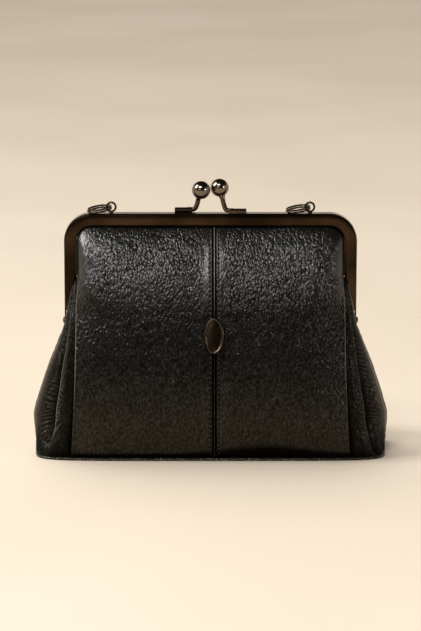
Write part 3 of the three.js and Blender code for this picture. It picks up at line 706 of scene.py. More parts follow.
def panel_heights(rows):
    """Heights of rows at equal distances along the panel's middle line, and the line's length."""
    fine = np.linspace(KNOT_Z[0], KNOT_Z[-1], 800)
    run = lengths(np.stack([fine, smooth_through(KNOT_Z, MIDDLE_DEPTHS, fine)], axis=-1))
    return np.interp(np.linspace(0, run[-1], rows), run, fine), run[-1]


def panel_lift(points, from_edge, from_seam, along):
    """How far the hide stands off its smooth shape: a lip at the side edge, a turned edge that drops into the
    middle seam, puckers |sin| between the stitches, a tucked foot, and the slow swell of soft hide
    elsewhere."""
    z = points[..., 2]
    lip = LIP * (1 - ease(z, *LIP_TOP)) * (1 - ease(from_edge, *LIP_WIDTH))
    turned = TURN * (1 - ease(from_seam, *TURN_WIDTH)) + TURN_SHOULDER * near(from_seam, *SHOULDER_AT)
    slant = PUCKER_LEAN * np.sign(points[..., 0] - WELT_X) * (from_seam - STITCH_OFFSET)
    pucker = np.abs(np.sin(np.pi * (along - STITCH_START - slant) / STITCH_PITCH)) - PUCKER_MEAN
    channel = (PUCKER * pucker - CHANNEL) * near(from_seam, STITCH_OFFSET, CHANNEL_WIDTH)
    foot = FOOT * (1 - ease(z, *FOOT_TOP)) ** 2
    free = ease(from_seam, *FREE_OF_SEAM) * ease(from_edge, *FREE_OF_EDGE)
    swell = sum(depth * soft_noise(points, size, seed) for depth, size, seed in SWELLS)
    ripple = RIPPLE * soft_noise(points * RIPPLE_SHAPE, *RIPPLE_NOISE)
    return lip + turned + channel + foot + free * swell + np.minimum(1, free + RIPPLE_LEAST) * ripple


def panel_marks(points, from_edge, from_seam, along):
    """Painted shade in the middle seam, round the needle holes, as a shadow under the frame's edge and at the
    foot; a painted highlight on the lip of the side seam."""
    x, z = np.abs(points[..., 0]), points[..., 2]
    inside = FREE_CORNER - np.hypot(np.maximum(x - CORNER_X, 0), np.maximum(z - CORNER_Z, 0))
    # Painted shadow of the frame's edge on the hide just below it.
    frame_shadow = (1 - ease(inside, *FRAME_SHADOW)) * ease(z, *FRAME_SHADOW_FROM)
    # Painted shade at the foot, where the panel turns under.
    reach = FOOT_REACH + FOOT_REACH_MORE * near(points[..., 0], *FOOT_REACH_AT)
    foot = FOOT_SHADE * (1 - ease(z, FOOT_CORE * reach, reach))
    # Painted shade round the needle holes.
    pitch = np.abs(np.cos(np.pi * (along - STITCH_START) / STITCH_PITCH))
    holes = near(from_seam, STITCH_OFFSET, HOLE_ROW_WIDTH) * ease(pitch, *HOLE_WIDTH)
    # Painted shade in the middle seam's groove, joined with the rest of the painted shade.
    painted_shade = np.maximum.reduce([1 - ease(from_seam, *GROOVE_WIDTH), frame_shadow, foot, holes])
    # Painted highlight: the lip of the side seam is painted pale, most at middle heights.
    rub_and_highlight = LIP_HIGHLIGHT * near(from_edge, *LIP_HIGHLIGHT_AT) * ease(z, *LIP_HIGHLIGHT_UP) * (1 - ease(z, *LIP_HIGHLIGHT_TOP))
    return {"painted_shade": painted_shade, "rub_and_highlight": rub_and_highlight}


def panel(side, face):
    """One panel: at a distance from the side edge, x is the edge's half width less that distance and y the
    panel's depth there. side is -1 left or 1 right, face is -1 front or 1 back."""
    heights, length = panel_heights(PANEL_ROWS)
    z = heights[:, None]
    edge = panel_section(z)[1]
    total = edge - side * SEAM_X - SEAM_HALF_GAP - LEATHER / 2
    near_edge = np.linspace(LEATHER / 2, EDGE_BAND, EDGE_COLUMNS)[None] + 0 * z
    middle = np.linspace(0, 1, MIDDLE_COLUMNS + 2)[None, 1:-1]
    middle = EDGE_BAND + (total - (EDGE_BAND + SEAM_BAND)) * middle
    near_seam = total - np.linspace(SEAM_BAND, 0, SEAM_COLUMNS)[None]
    from_edge = np.concatenate([near_edge, middle, near_seam], axis=1)
    x = side * (edge - from_edge)
    smooth = np.stack([x, face * panel_depth(x, z), z + 0 * x], axis=-1)
    places = smooth, from_edge, np.abs(x - WELT_X), np.linspace(0, length, PANEL_ROWS)[:, None]
    lift, marks = panel_lift(*places), panel_marks(*places)
    if side != face:
        smooth, lift = smooth[:, ::-1], lift[:, ::-1]
        marks = {name: values[:, ::-1] for name, values in marks.items()}
    return wall(smooth, lift, marks, LEATHER, PANEL_INNER_COLUMNS)


for face_name, face in FACES.items():
    for side_name, side in SIDES.items():
        node = f"{face_name}_panel_{side_name}"
        shape, marks = panel(side, face)
        make_piece(f"{node}_leather", shape, leather, [node], marks=marks)

# %% [markdown]
# ### Gussets
# Each side is one folded piece. From the front seam it rolls out, rises to a ridge, drops into a valley,
# swells again to the outer fold that makes the bag's silhouette, and goes in to a crease on the line of
# the hinges; the back half mirrors it. The folds are points that follow the table, the hide between two
# folds bulges like a slack sheet, and the creases are rounded by averaging each point with its neighbours.

# %% Gussets
GUSSET_ROWS, GUSSET_INNER_COLUMNS = 180, 40
FOLDS = np.array([  # share of the way from seam to outer fold, push outwards; the same two on the base
    (0.15, 0.063, 0.186, 0.139),
    (0.35, 0.096, 0.394, 0.251),
    (0.41, -0.260, 0.517, 0.210),
    (0.72, -0.010, 0.776, 0.167),
])
FOLD_SAMPLES = (8, 18, 12, 24, 20, 12, 12, 14)
FOLD_BULGE = (0.03, 0.07, 0.0, 0.09, 0.16, 0.12, 0.03, 0.06)
SEAM_STEP, SEAM_SINK = 0.4, 0.45
SEAM_BEND = 0.985


def gusset_folds(level):
    """Fold points of the right gusset from the front seam round to the back seam, (rows, folds, 3)."""
    at = {name: smooth_through(np.arange(len(column)), column, level) for name, column in LEVELS.items()}
    crown, _, edge_depth, _ = panel_section(at["z"])
    slope = (panel_depth(SEAM_BEND * crown, at["z"]) - edge_depth) / ((1 - SEAM_BEND) * crown)
    seam = np.stack([crown, -edge_depth, at["z"]], axis=-1)
    onward = unit(np.stack([np.ones_like(slope), slope, 0 * slope], axis=-1))
    sunk = np.stack([onward[:, 1], -onward[:, 0], 0 * slope], axis=-1)
    start = seam + SEAM_STEP * onward - SEAM_SINK * sunk
    fold, tuck, roll = (
        np.stack([at[f"{name}_x"], -at[f"{name}_depth"], at[f"{name}_z"]], axis=-1)
        for name in ("fold", "tuck", "roll")
    )
    crease = np.stack([at["crease_x"], 0 * slope, at["crease_z"]], axis=-1)
    line = fold - seam
    push = np.stack([line[:, 1], -line[:, 0], 0 * slope], axis=-1)
    shares = FOLDS[:, None, :2] + at["spread"][:, None] * (FOLDS[:, None, 2:] - FOLDS[:, None, :2])
    outer = seam + shares[..., :1] * line + shares[..., 1:] * push
    front = np.stack([start, *outer, fold, tuck, roll], axis=1)
    return np.concatenate([front, crease[:, None], front[:, ::-1] * (1, -1, 1)], axis=1)


def gusset_surface(side):
    """Outer face of a gusset: bulging stretches between the folds, averaged three times across the folds.
    Also gives each column's place in folds, 0 at the front seam and 8 at the middle crease."""
    folds = gusset_folds(np.linspace(0, len(LEVELS["z"]) - 1, GUSSET_ROWS))
    parts, places = [], []
    samples_and_bulges = zip(FOLD_SAMPLES + FOLD_SAMPLES[::-1], FOLD_BULGE + FOLD_BULGE[::-1])
    for i, (samples, bulge) in enumerate(samples_and_bulges):
        t = np.arange(samples)[None, :, None] / samples
        start, line = folds[:, i : i + 1], folds[:, i + 1 : i + 2] - folds[:, i : i + 1]
        out = np.stack([line[..., 1], -line[..., 0], 0 * line[..., 0]], axis=-1)
        parts.append(start + t * line + bulge * np.sin(np.pi * t) * out)
        places.append(i + t[0, :, 0])
    points = np.concatenate([*parts, folds[:, -1:]], axis=1)
    place = np.append(np.concatenate(places), len(FOLD_SAMPLES) * 2)
    for _ in range(3):
        points[:, 1:-1] = (points[:, :-2] + 2 * points[:, 1:-1] + points[:, 2:]) / 4
    points = points * (side, 1, 1)
    return (points, place) if side > 0 else (points[:, ::-1], place)


print("folds at the foot:", np.round(gusset_folds(np.array([0.0]))[0, :8, :2], 1).tolist())

# %% [markdown]
# Where the hide is squeezed, beside the ridge and on the belly behind the valley, it wrinkles in short
# slanting folds. Each is one hump of |sin|, and a noise bends them and makes them deep in some places and
# faint in others. The two sides are painted pale differently, partly as rubbing and partly as painted
# highlights: the left one most on its ridge, the right one most on its outer fold.

# %% Wrinkles and marks of the gussets
# Places across a gusset are counted in folds: 0 the seam, 2 the ridge, 5 the outer fold, 8 the crease.
FOLDED, LOW = (8, 26), (10, 48)  # heights in millimetres
WRINKLE_BANDS = ((1.0, 1.66, 0.30), (0.85, 3.95, 0.24))  # depth, place, width
WRINKLES_FROM, WRINKLES_STOP, WRINKLES_AGAIN = (0.6, 1.2), (1.9, 2.0), (3.0, 3.4)
WRINKLE_DEPTH, WRINKLE_MEAN, WRINKLE_PITCH, WRINKLE_SLANT = 0.8, 0.6, 2.5, 0.21
PATCH_NOISE, BEND_NOISE, FINE_NOISE, SLOW_NOISE = (10, 14), (7, 11), (2.4, 12), (15, 13)  # size, seed
PATCH_MEAN, PATCH_SPREAD, PATCH_MOST, BEND = 0.75, 0.5, 1.3, 0.35
FINE_PUSH, FINE_PUSH_MORE, SLOW_PUSH, SLOW_FROM = 0.16, 0.1, 0.25, (0.5, 2)
GROOVE, GROOVE_MORE, GROOVE_AT, GROOVE_SHADE, GROOVE_SHADE_MORE = 0.3, 0.7, (0.35, 0.3), 0.25, 0.3
VALLEY_FROM, VALLEY_TO = (2.04, 2.16), (3.3, 3.85)
GUSSET_FOOT_SHADE, GUSSET_FOOT_TOP = 0.7, (3, 15)
TROUGH_SHADE, TROUGH, CREST = 0.9, (0.25, 0.75), (0.75, 1.0)
CREASE_SHADE, CREASE_AT = 0.6, (7.6, 1.2)
# Painted highlights on the wrinkle crests, and pale bands along the folds, partly rubbing and partly painted
# highlight; each side has its own.
CREST_HIGHLIGHT = {-1: 0.32, 1: 0.24}
FOLD_RUB_AND_HIGHLIGHT = {  # strength, place, width
    -1: ((0.8, 1.96, 0.09), (0.24, 4.75, 0.45), (0.25, 4.85, 0.09)),
    1: ((0.35, 1.96, 0.09), (0.45, 4.75, 0.45), (0.50, 4.72, 0.09)),
}


def gusset_wrinkles(points, half, folded, side):
    """Depth of the wrinkles at each point, and their crests |sin(pi phase)|, where the phase counts pitches
    along the gusset and leans with the distance across it."""
    bands = sum(depth * near(half, place, width) for depth, place, width in WRINKLE_BANDS)
    smooth = ease(half, *WRINKLES_STOP) * (1 - ease(half, *WRINKLES_AGAIN))
    bands = bands * ease(half, *WRINKLES_FROM) * (1 - smooth) * folded
    patchy = np.clip(PATCH_MEAN + PATCH_SPREAD * soft_noise(points, *PATCH_NOISE), 0, PATCH_MOST)
    phase = lengths(points) / WRINKLE_PITCH + WRINKLE_SLANT * side * lengths(points, 1)
    phase = phase + BEND * soft_noise(points, *BEND_NOISE)
    return bands, patchy, np.abs(np.sin(np.pi * phase))


def gusset(side):
    """A gusset with its wrinkles, a finer and a slower noise, and a groove beside the seam. Its marks paint
    shade in the groove, in the valley, at the foot, between the wrinkles and in the middle crease, paint it
    pale along the folds, partly as rubbing and partly as a painted highlight, and paint highlights on the
    crests of the wrinkles."""
    points, place = gusset_surface(side)
    half = np.minimum(place, 2 * len(FOLD_SAMPLES) - place)[None]
    half = half if side > 0 else half[:, ::-1]
    height = points[..., 2]
    folded, low = ease(height, *FOLDED), 1 - ease(height, *LOW)
    bands, patchy, crest = gusset_wrinkles(points, half, folded, side)

    fine = (FINE_PUSH + FINE_PUSH_MORE * bands) * soft_noise(points, *FINE_NOISE)
    slow = SLOW_PUSH * soft_noise(points, *SLOW_NOISE) * ease(half, *SLOW_FROM)
    groove = (GROOVE + GROOVE_MORE * low) * near(half, *GROOVE_AT)
    wrinkled = WRINKLE_DEPTH * bands * patchy * (crest - WRINKLE_MEAN)
    lift = wrinkled + fine * ease(half, *WRINKLES_FROM) + (slow - groove)

    # Painted shade in the seam groove, the valley, at the foot, between the wrinkles and in the middle crease.
    seam = near(half, 0.0, GROOVE_SHADE + GROOVE_SHADE_MORE * low)
    valley = (ease(half, *VALLEY_FROM) - ease(half, *VALLEY_TO)) * folded
    foot = GUSSET_FOOT_SHADE * (1 - ease(height, *GUSSET_FOOT_TOP))
    troughs = TROUGH_SHADE * bands * patchy * (1 - ease(crest, *TROUGH))
    crease = CREASE_SHADE * near(half, *CREASE_AT)
    painted_shade = np.maximum.reduce(np.broadcast_arrays(seam, valley, foot, troughs, crease))
    # Painted pale along the folds, partly rubbing and partly painted highlight, and painted highlights on the
    # wrinkle crests.
    rub_and_highlight = sum(strength * near(half, middle, width) * folded for strength, middle, width in FOLD_RUB_AND_HIGHLIGHT[side])
    rub_and_highlight = rub_and_highlight + CREST_HIGHLIGHT[side] * bands * patchy * ease(crest, *CREST)
    marks = {"painted_shade": np.clip(painted_shade, 0, 1), "rub_and_highlight": np.clip(rub_and_highlight, 0, 1)}
    return wall(points, lift, marks, LEATHER, GUSSET_INNER_COLUMNS)


for side_name, side in SIDES.items():
    shape, marks = gusset(side)
    node = f"gusset_{side_name}"
    make_piece(f"{node}_leather", shape, fold_leather, [node], marks=marks)

# %% [markdown]
# ### Base
# The base is a stiffened oval-cornered plate covered in the same hide. It stands a little proud of the
# walls, so its rounded edge draws a thin light line under the bag. It is a stack of outlines: each is the
# superellipse drawn in by as much as the round edge asks for at that height.

# %% Base
BASE_POWER = 7
base_low, base_high = box_mm("base_panel")


def base_plate(steps=360, rim_steps=9):
    """Superellipse |x/a|^p + |y/b|^p = 1, drawn in by r(1 - cos v) at the height r(1 + sin v)."""
    turn = circle(steps)
    half = (base_high - base_low)[:2] / 2
    outline = np.stack([np.cos(turn), np.sin(turn)], axis=-1)
    outline = half * np.sign(outline) * np.abs(outline) ** (2 / BASE_POWER)
    inwards = -unit(np.sign(outline) * np.abs(outline / half) ** (BASE_POWER - 1) / half)
    radius = base_high[2] / 2
    rise = np.linspace(-np.pi / 2, np.pi / 2, rim_steps)[:, None, None]
    flat = outline + inwards * radius * (1 - np.cos(rise))
    height = np.broadcast_to(radius * (1 + np.sin(rise)), flat.shape[:2] + (1,))
    return loft(np.concatenate([flat, height], axis=-1))


make_piece("base_leather", base_plate(), base_leather, ["base_panel"])

# %% [markdown]
# ### Middle seams and stitches
# Between the two panels of each face a narrow welt of the same hide fills the groove, a tape behind it
# closes the gap between the turned edges, and two rows of black thread hold those down. The tape is painted
# dark all over as painted shade in the gap, and the upper welt gets a painted highlight. A stitch is a short
# round thread that dips in at both ends: one small shape of a few dozen faces, set down at every pitch along
# the seam and turned to the panel's slope.

# %% Welts and stitches
WELT_RADIUS, WELT_SINK, WELT_HIGHLIGHT, WELT_HIGHLIGHT_FROM = 0.34, 0.20, 0.5, (95, 130)
TAPE_SINK, TAPE_HALF, TAPE_HALF_THICKNESS = 2.1, 1.1, 0.3
STITCH_HALF, STITCH_RADIUS, STITCH_BLUNT, STITCH_TAPER = 1.1, 0.52, 2.6, 0.98
STITCH_DIP, STITCH_SINK, STITCH_LEAN, STITCH_STOP = 0.3, 0.05, 0.25, 9
SEAM_ROWS, STRIP_STEP, STRIP_STOP = 1200, 6, 30


def seam_line(x, face, sink):
    """Points, directions and outward directions along a panel at distance x, every quarter millimetre or
    less, sunk into it."""
    z = panel_heights(SEAM_ROWS)[0]
    points = np.stack([np.full_like(z, x), face * (panel_depth(x, z) - sink), z], axis=-1)
    onward = unit(np.gradient(points, axis=0))
    return points, onward, unit(np.cross(onward, (face, 0, 0)))


def tube(points, sides, up, radius_across, radius_up, steps=12):
    """A wire of oval section along a line: each ring is point + a cos v * side + b sin v * up."""
    turn = circle(steps)[None, :, None]
    across = np.broadcast_to(radius_across, (len(points),))[:, None, None]
    upright = np.broadcast_to(radius_up, (len(points),))[:, None, None]
    return points[:, None] + across * np.cos(turn) * sides[:, None] + upright * np.sin(turn) * up[:, None]


def seam_strip(x, face, sink, radius_across, radius_up):
    """A strip of oval section that follows a panel at distance x, up to just under the frame's top."""
    points, onward, outward = (rows[:-STRIP_STOP:STRIP_STEP] for rows in seam_line(x, face, sink))
    return loft(tube(points, np.cross(onward, outward), outward, radius_across, radius_up, 10))


def welt(face):
    """The thin welt and the tape behind it, with marks: the tape is painted dark all over as painted shade,
    and the upper welt is painted pale as a painted highlight.
    """
    cord = seam_strip(WELT_X, face, WELT_SINK, WELT_RADIUS, WELT_RADIUS)
    tape = seam_strip(SEAM_X, face, TAPE_SINK, TAPE_HALF, TAPE_HALF_THICKNESS)
    points, faces = joined(cord, tape)
    is_tape = np.arange(len(points)) >= len(cord[0])
    # Painted highlight: the welt is painted paler higher up, where the lamps catch it.
    rub_and_highlight = WELT_HIGHLIGHT * ease(points[:, 2], *WELT_HIGHLIGHT_FROM) * ~is_tape
    # The tape is painted dark all over as painted shade in the gap.
    return (points, faces), {"painted_shade": is_tape.astype(float), "rub_and_highlight": rub_and_highlight}


def stitch_template():
    """One stitch along its first axis, t from -1 to 1: radius r sqrt(1 - 0.98 |t|^2.6), and it dips by
    0.3 |t|^3."""
    t = np.linspace(-1, 1, 7)[:, None]
    radius = STITCH_RADIUS * np.sqrt(1 - np.abs(t) ** STITCH_BLUNT * STITCH_TAPER)
    turn = circle(6)
    dip = STITCH_DIP * np.abs(t) ** 3
    parts = STITCH_HALF * t, radius * np.cos(turn), radius * np.sin(turn) - dip
    return np.stack(np.broadcast_arrays(*parts), axis=-1)


def stitch_row(face):
    """Every stitch of both rows of one face: the template's points are carried to each place by the three
    directions there, all at once."""
    shells = []
    for side in SIDES.values():
        points, onward, outward = seam_line(WELT_X + side * STITCH_OFFSET, face, STITCH_SINK)
        run = lengths(points)
        at = np.arange(STITCH_START, run[-1] - STITCH_STOP, STITCH_PITCH) + STITCH_PITCH / 2
        picked = np.searchsorted(run, at)
        points, onward, outward = points[picked], onward[picked], outward[picked]
        slant = unit(onward + STITCH_LEAN * side * np.cross(onward, outward))
        axes = np.stack([slant, np.cross(outward, slant), outward], axis=1)
        placed = np.einsum("rck,nkj->nrcj", stitch_template(), axes) + points[:, None, None]
        shells += [loft(stitch) for stitch in placed]
    return joined(*shells)


for face_name, face in FACES.items():
    shape, marks = welt(face)
    make_piece(f"{face_name}_seam_welt", shape, edge_leather, marks=marks)
    make_piece(f"{face_name}_seam_stitches", stitch_row(face), thread)

# %% [markdown]
# ## The metal
# ### Frame
# Each half of the frame is a channel of sheet metal bent round an arch: an outer wall, a face that covers
# the leather's edge, and an inner plate. Its section is drawn once with rounded corners and carried up one
# arm, round both upper corners and down the other arm. Boxes with a bevel would give the same outline, but
# a section keeps the folded sheet honest where the arms end open.

# %% Frame sections
ARM_END = 100.5
FRAME_CORNER = 19.5
PART = 0.25
FACE_WIDTH, FACE_LIP, WALL, INNER_WIDTH = 8.2, 0.8, 0.9, 7.2
FACE_CROWN, CROWN_SHARE = 0.45, 0.5
OUTER_RADIUS, INNER_RADIUS, LIP_RADIUS, INSIDE_RADIUS, EDGE_RADIUS = 1.6, 0.38, 0.3, 0.1, 0.25
FLAT_CUTS = 9
SUPPORT = 0.12
HINGE_Z = 91.0


def rounded(corners, radii, steps=5):
    """A closed outline with round corners. Near a corner C, between the points A and B at the radius along
    its two sides, the curve is ((1-t)^2 A + 2wt(1-t) C + t^2 B) / ((1-t)^2 + 2wt(1-t) + t^2), w = sqrt(1/2),
    which is a true arc at a right angle. One more point at each side keeps the flats flat when shaded."""
    corners = np.array(corners, float)
    radii = np.array(radii, float)[:, None]
    before, after = unit(np.roll(corners, 1, axis=0) - corners), unit(np.roll(corners, -1, axis=0) - corners)
    start, end = corners + before * radii, corners + after * radii
    t = np.linspace(0, 1, steps)[None, :, None]
    weights = np.sqrt(2) * t * (1 - t)
    curve = (1 - t) ** 2 * start[:, None] + weights * corners[:, None] + t**2 * end[:, None]
    curve = curve / ((1 - t) ** 2 + weights + t**2)
    support = SUPPORT * np.minimum(1, radii)
    sides = (start + before * support)[:, None], curve, (end + after * support)[:, None]
    return np.concatenate(sides, axis=1).reshape(-1, 2)


def channel_section():
    """Section of the front half: inwards from the outer wall, and depth. The face is crowned: it falls back
    by FACE_CROWN at its edges, as the square of the distance from its middle, so it gets more points."""
    face = -FRAME_DEPTH
    corners = [
        (0, -PART), (0, face), (FACE_WIDTH, face), (FACE_WIDTH, face + FACE_LIP), (WALL, face + FACE_LIP),
        (WALL, -PART - FACE_LIP), (INNER_WIDTH, -PART - FACE_LIP), (INNER_WIDTH, -PART),
    ]
    radii = EDGE_RADIUS, OUTER_RADIUS, INNER_RADIUS, LIP_RADIUS, INSIDE_RADIUS, INSIDE_RADIUS, EDGE_RADIUS
    outline = rounded(corners, (*radii, EDGE_RADIUS))
    flat = np.linspace(OUTER_RADIUS + 0.3, FACE_WIDTH - 0.6, FLAT_CUTS)
    first = np.flatnonzero(outline[:, 0] > OUTER_RADIUS + SUPPORT / 2)[0] + 1
    outline = np.insert(outline, first, np.stack([flat, np.full_like(flat, face)], axis=-1), axis=0)
    on_face = ease(-outline[:, 1], FRAME_DEPTH - CROWN_SHARE, FRAME_DEPTH)
    share = (outline[:, 0] - FACE_WIDTH / 2) / (FACE_WIDTH / 2)
    outline[:, 1] += FACE_CROWN * share**2 * on_face
    return outline


def arch(face, corner_steps=24, arm_steps=14, top_steps=30):
    """The section carried round the arch: point + (corner radius - inwards) * (cos v, sin v)."""
    x, z = FRAME_HALF - FRAME_CORNER, FRAME_TOP - FRAME_CORNER
    quarter = np.linspace(0, np.pi / 2, corner_steps)
    arm = np.linspace(ARM_END, z, arm_steps, endpoint=False)
    top = np.linspace(-x, x, top_steps)[1:-1]
    stretches = (-x, arm, np.pi), (-x, z, np.pi - quarter), (top, z, np.pi / 2), (x, z, np.pi / 2 - quarter)
    stops = [np.stack(np.broadcast_arrays(*parts), axis=-1) for parts in (*stretches, (x, arm[::-1], 0.0))]
    along_x, up_z, angle = np.concatenate(stops).T[:, :, None]
    inwards, depth = channel_section().T
    out = FRAME_CORNER - inwards[None]
    points = along_x + out * np.cos(angle), -face * depth[None], up_z + out * np.sin(angle)
    return loft(np.stack(np.broadcast_arrays(*points), axis=-1))


print("channel section of", len(channel_section()), "points")

# %% [markdown]
# Below each arm end an ear carries the hinge rivet. An ear is a flat tongue with a round eye. Its outline
# and its bore are two lines with the same number of points, so the plate is a closed band between them:
# out along one face, through the bore and back along the other. A small block steps each ear inwards from
# its arm, the back one further than the front one, so that both can lie on one rivet.

# %% Ears and rivets
EAR_RADIUS, EAR_HOLE, EAR_THICKNESS, EAR_BEVEL = 3.2, 1.6, 0.9, 0.14
FRONT_EAR = {"inner": 101.1, "y_low": -4.3, "y_high": -0.4, "top": 101.5}
FRONT_STEP = {**FRONT_EAR, "inner": 99.7}
BACK_EAR = {"inner": 99.9, "y_low": 1.3, "y_high": 4.6, "top": 103.0}
JOGGLE_OUTER, JOGGLE_BOTTOM, JOGGLE_BEVEL = 101.2, 98.5, 0.1
RIVET_GAP, SHANK, SHOULDER_RADIUS, SHOULDER_HEIGHT = 0.3, 1.3, 2.25, 0.12
INNER_HEAD, OUTER_HEAD = (2.2, 0.9), (2.4, 1.15)  # radius and height
INNER_HEAD_SINK, OUTER_HEAD_LIFT = 0.05, 0.2


def ear(side, inner, y_low, y_high, top):
    """A tongue from a straight top edge to a half circle round the hinge, with a bore."""
    arc = np.linspace(np.pi, 2 * np.pi, 21)
    share = np.linspace(0, 1, 10)[1:-1, None]
    left, right = np.array([-EAR_RADIUS, HINGE_Z]), np.array([EAR_RADIUS, HINGE_Z])
    upper_left, upper_right = np.array([y_low, top]), np.array([y_high, top])
    outline = np.concatenate([
        np.stack([EAR_RADIUS * np.cos(arc), HINGE_Z + EAR_RADIUS * np.sin(arc)], axis=-1),
        right + share * (upper_right - right),
        upper_right + np.linspace(0, 1, 6)[:, None] * (upper_left - upper_right),
        upper_left + share * (left - upper_left),
    ])
    centre = np.array([0, HINGE_Z])
    bore = centre + EAR_HOLE * unit(outline - centre)
    shrunk = outline + EAR_BEVEL * unit(centre - outline)
    rings = [  # flat outline, distance from the inner face
        (shrunk, 0), (outline, EAR_BEVEL), (outline, EAR_THICKNESS - EAR_BEVEL), (shrunk, EAR_THICKNESS),
        (bore, EAR_THICKNESS), (bore, 0),
    ]
    points = np.stack([
        np.concatenate([np.full((len(line), 1), side * (inner + x)), line], axis=-1) for line, x in rings
    ])
    return loft(points, closed_path=True)


def slab(a, b, bevel):
    """A box between two opposite corners, with rounded upright edges and a bevelled top and bottom."""
    (x0, y0, z0), (x1, y1, z1) = np.minimum(a, b), np.maximum(a, b)
    outline = rounded([(x0, y0), (x1, y0), (x1, y1), (x0, y1)], [2 * bevel] * 4)
    middle = outline.mean(0)
    inwards = np.sign(middle - outline) * np.minimum(1, np.abs(middle - outline))
    half_way = 0.3 * bevel
    stops = [(bevel, z0), (half_way, z0 + half_way), (0, z0 + bevel),
             (0, z1 - bevel), (half_way, z1 - half_way), (bevel, z1)]
    return loft(np.stack([np.c_[outline + inset * inwards, np.full(len(outline), z)] for inset, z in stops]))


def lathe(profile, steps=32):
    """A profile of (radius, height) turned about Z: (r cos v, r sin v, h)."""
    turn = circle(steps)
    radius, height = np.array(profile, float).T[:, :, None]
    return np.stack([radius * np.cos(turn), radius * np.sin(turn), height + 0 * turn], axis=-1)


def dome(radius, height, steps=7):
    """Profile of a round head (r cos v, h sin v), from its edge at height 0 to close to its top."""
    rise = np.linspace(0, 0.47 * np.pi, steps)
    return np.stack([radius * np.cos(rise), height * np.sin(rise)], axis=-1)


def rivet(side):
    """A rivet through both ears: low domed head inside, shank, and a fuller head outside, lathed about Z and
    laid down along X."""
    inside, outside = BACK_EAR["inner"] - RIVET_GAP, FRAME_HALF + RIVET_GAP
    profile = np.concatenate([
        dome(*INNER_HEAD)[::-1] * (1, -1) + (0, inside - INNER_HEAD_SINK),
        [(INNER_HEAD[0], inside), (SHANK, inside), (SHANK, outside), (SHOULDER_RADIUS, outside)],
        [(OUTER_HEAD[0], outside + SHOULDER_HEIGHT)],
        dome(*OUTER_HEAD) + (0, outside + OUTER_HEAD_LIFT),
    ])
    across, deep, along = np.moveaxis(lathe(profile), -1, 0)
    return loft(np.stack([side * along, deep, across + HINGE_Z], axis=-1))


def joggle(side, inner, y_low, y_high, top):
    """The block that steps an ear inwards from its arm's outer wall."""
    return slab((side * inner, y_low, JOGGLE_BOTTOM), (side * JOGGLE_OUTER, y_high, top), JOGGLE_BEVEL)


for (face_name, face), tongue, step in zip(FACES.items(), (FRONT_EAR, BACK_EAR), (FRONT_STEP, BACK_EAR)):
    ears = [ear(side, **tongue) for side in SIDES.values()]
    steps = [joggle(side, **step) for side in SIDES.values()]
    shape, node = joined(arch(face), *ears, *steps), f"{face_name}_frame"
    make_piece(f"{node}_metal", shape, frame_metal, [node], sharp=35)
for side_name, side in SIDES.items():
    node = f"hinge_rivet_{side_name}"
    make_piece(f"{node}_metal", rivet(side), fitting_metal, [node], sharp=35)

# %% [markdown]
# ### Kiss-lock clasp
# Each ball stands on its own half of the frame and is carried across the other half by a bent wire, so the
# two balls have to snap past each other. The wire is brazed to a small bar on the frame and swells into a
# collar under the ball. The ball is a globe of rings, and the wire a round section carried along a smooth
# line through the points where it bends.

# %% Clasps
BALL_RADIUS, STEM_RADIUS = 6.4, 1.7
COLLAR_SWELL, COLLAR_WIDTH = 0.38, 1.1
BAR_NEAR, BAR_FAR, BAR_DEPTH, BAR_HEIGHT, BAR_BEVEL = 12.6, 25.0, 3.4, 3.3, 0.35
BAR_LIFT = 0.05
POST_Y = 2.9
STEM_LIFT = 0.15
STEM_BENDS = (  # inwards from the bar's near end, share of POST_Y, up
    (-3.5, 1, 0), (0, 1, 0), (2.0, 0.88, 1.0), (3.4, 0.55, 4.4), (4.4, 0.1, 8.6),
)
PIN_RADIUS, PIN_END, PIN_TOP = 1.1, 164.9, 1


def ball(centre, radius, rows=40, columns=64):
    """A globe: radius * (sin p cos v, sin p sin v, cos p) with the poles closed by small flat caps."""
    polar = np.linspace(0.02, np.pi - 0.02, rows)
    points = lathe(np.stack([radius * np.sin(polar), radius * np.cos(polar)], axis=-1), columns)
    return loft(points + centre)


def bent_line(stops, count):
    """A smooth line through the stops at even steps of its own length."""
    stops = np.array(stops, float)
    run = lengths(stops)
    fine = np.stack([smooth_through(run, column, np.linspace(0, run[-1], 400)) for column in stops.T], -1)
    fine_run = lengths(fine)
    at = np.linspace(0, fine_run[-1], count)
    return np.stack([np.interp(at, fine_run, column) for column in fine.T], axis=-1)


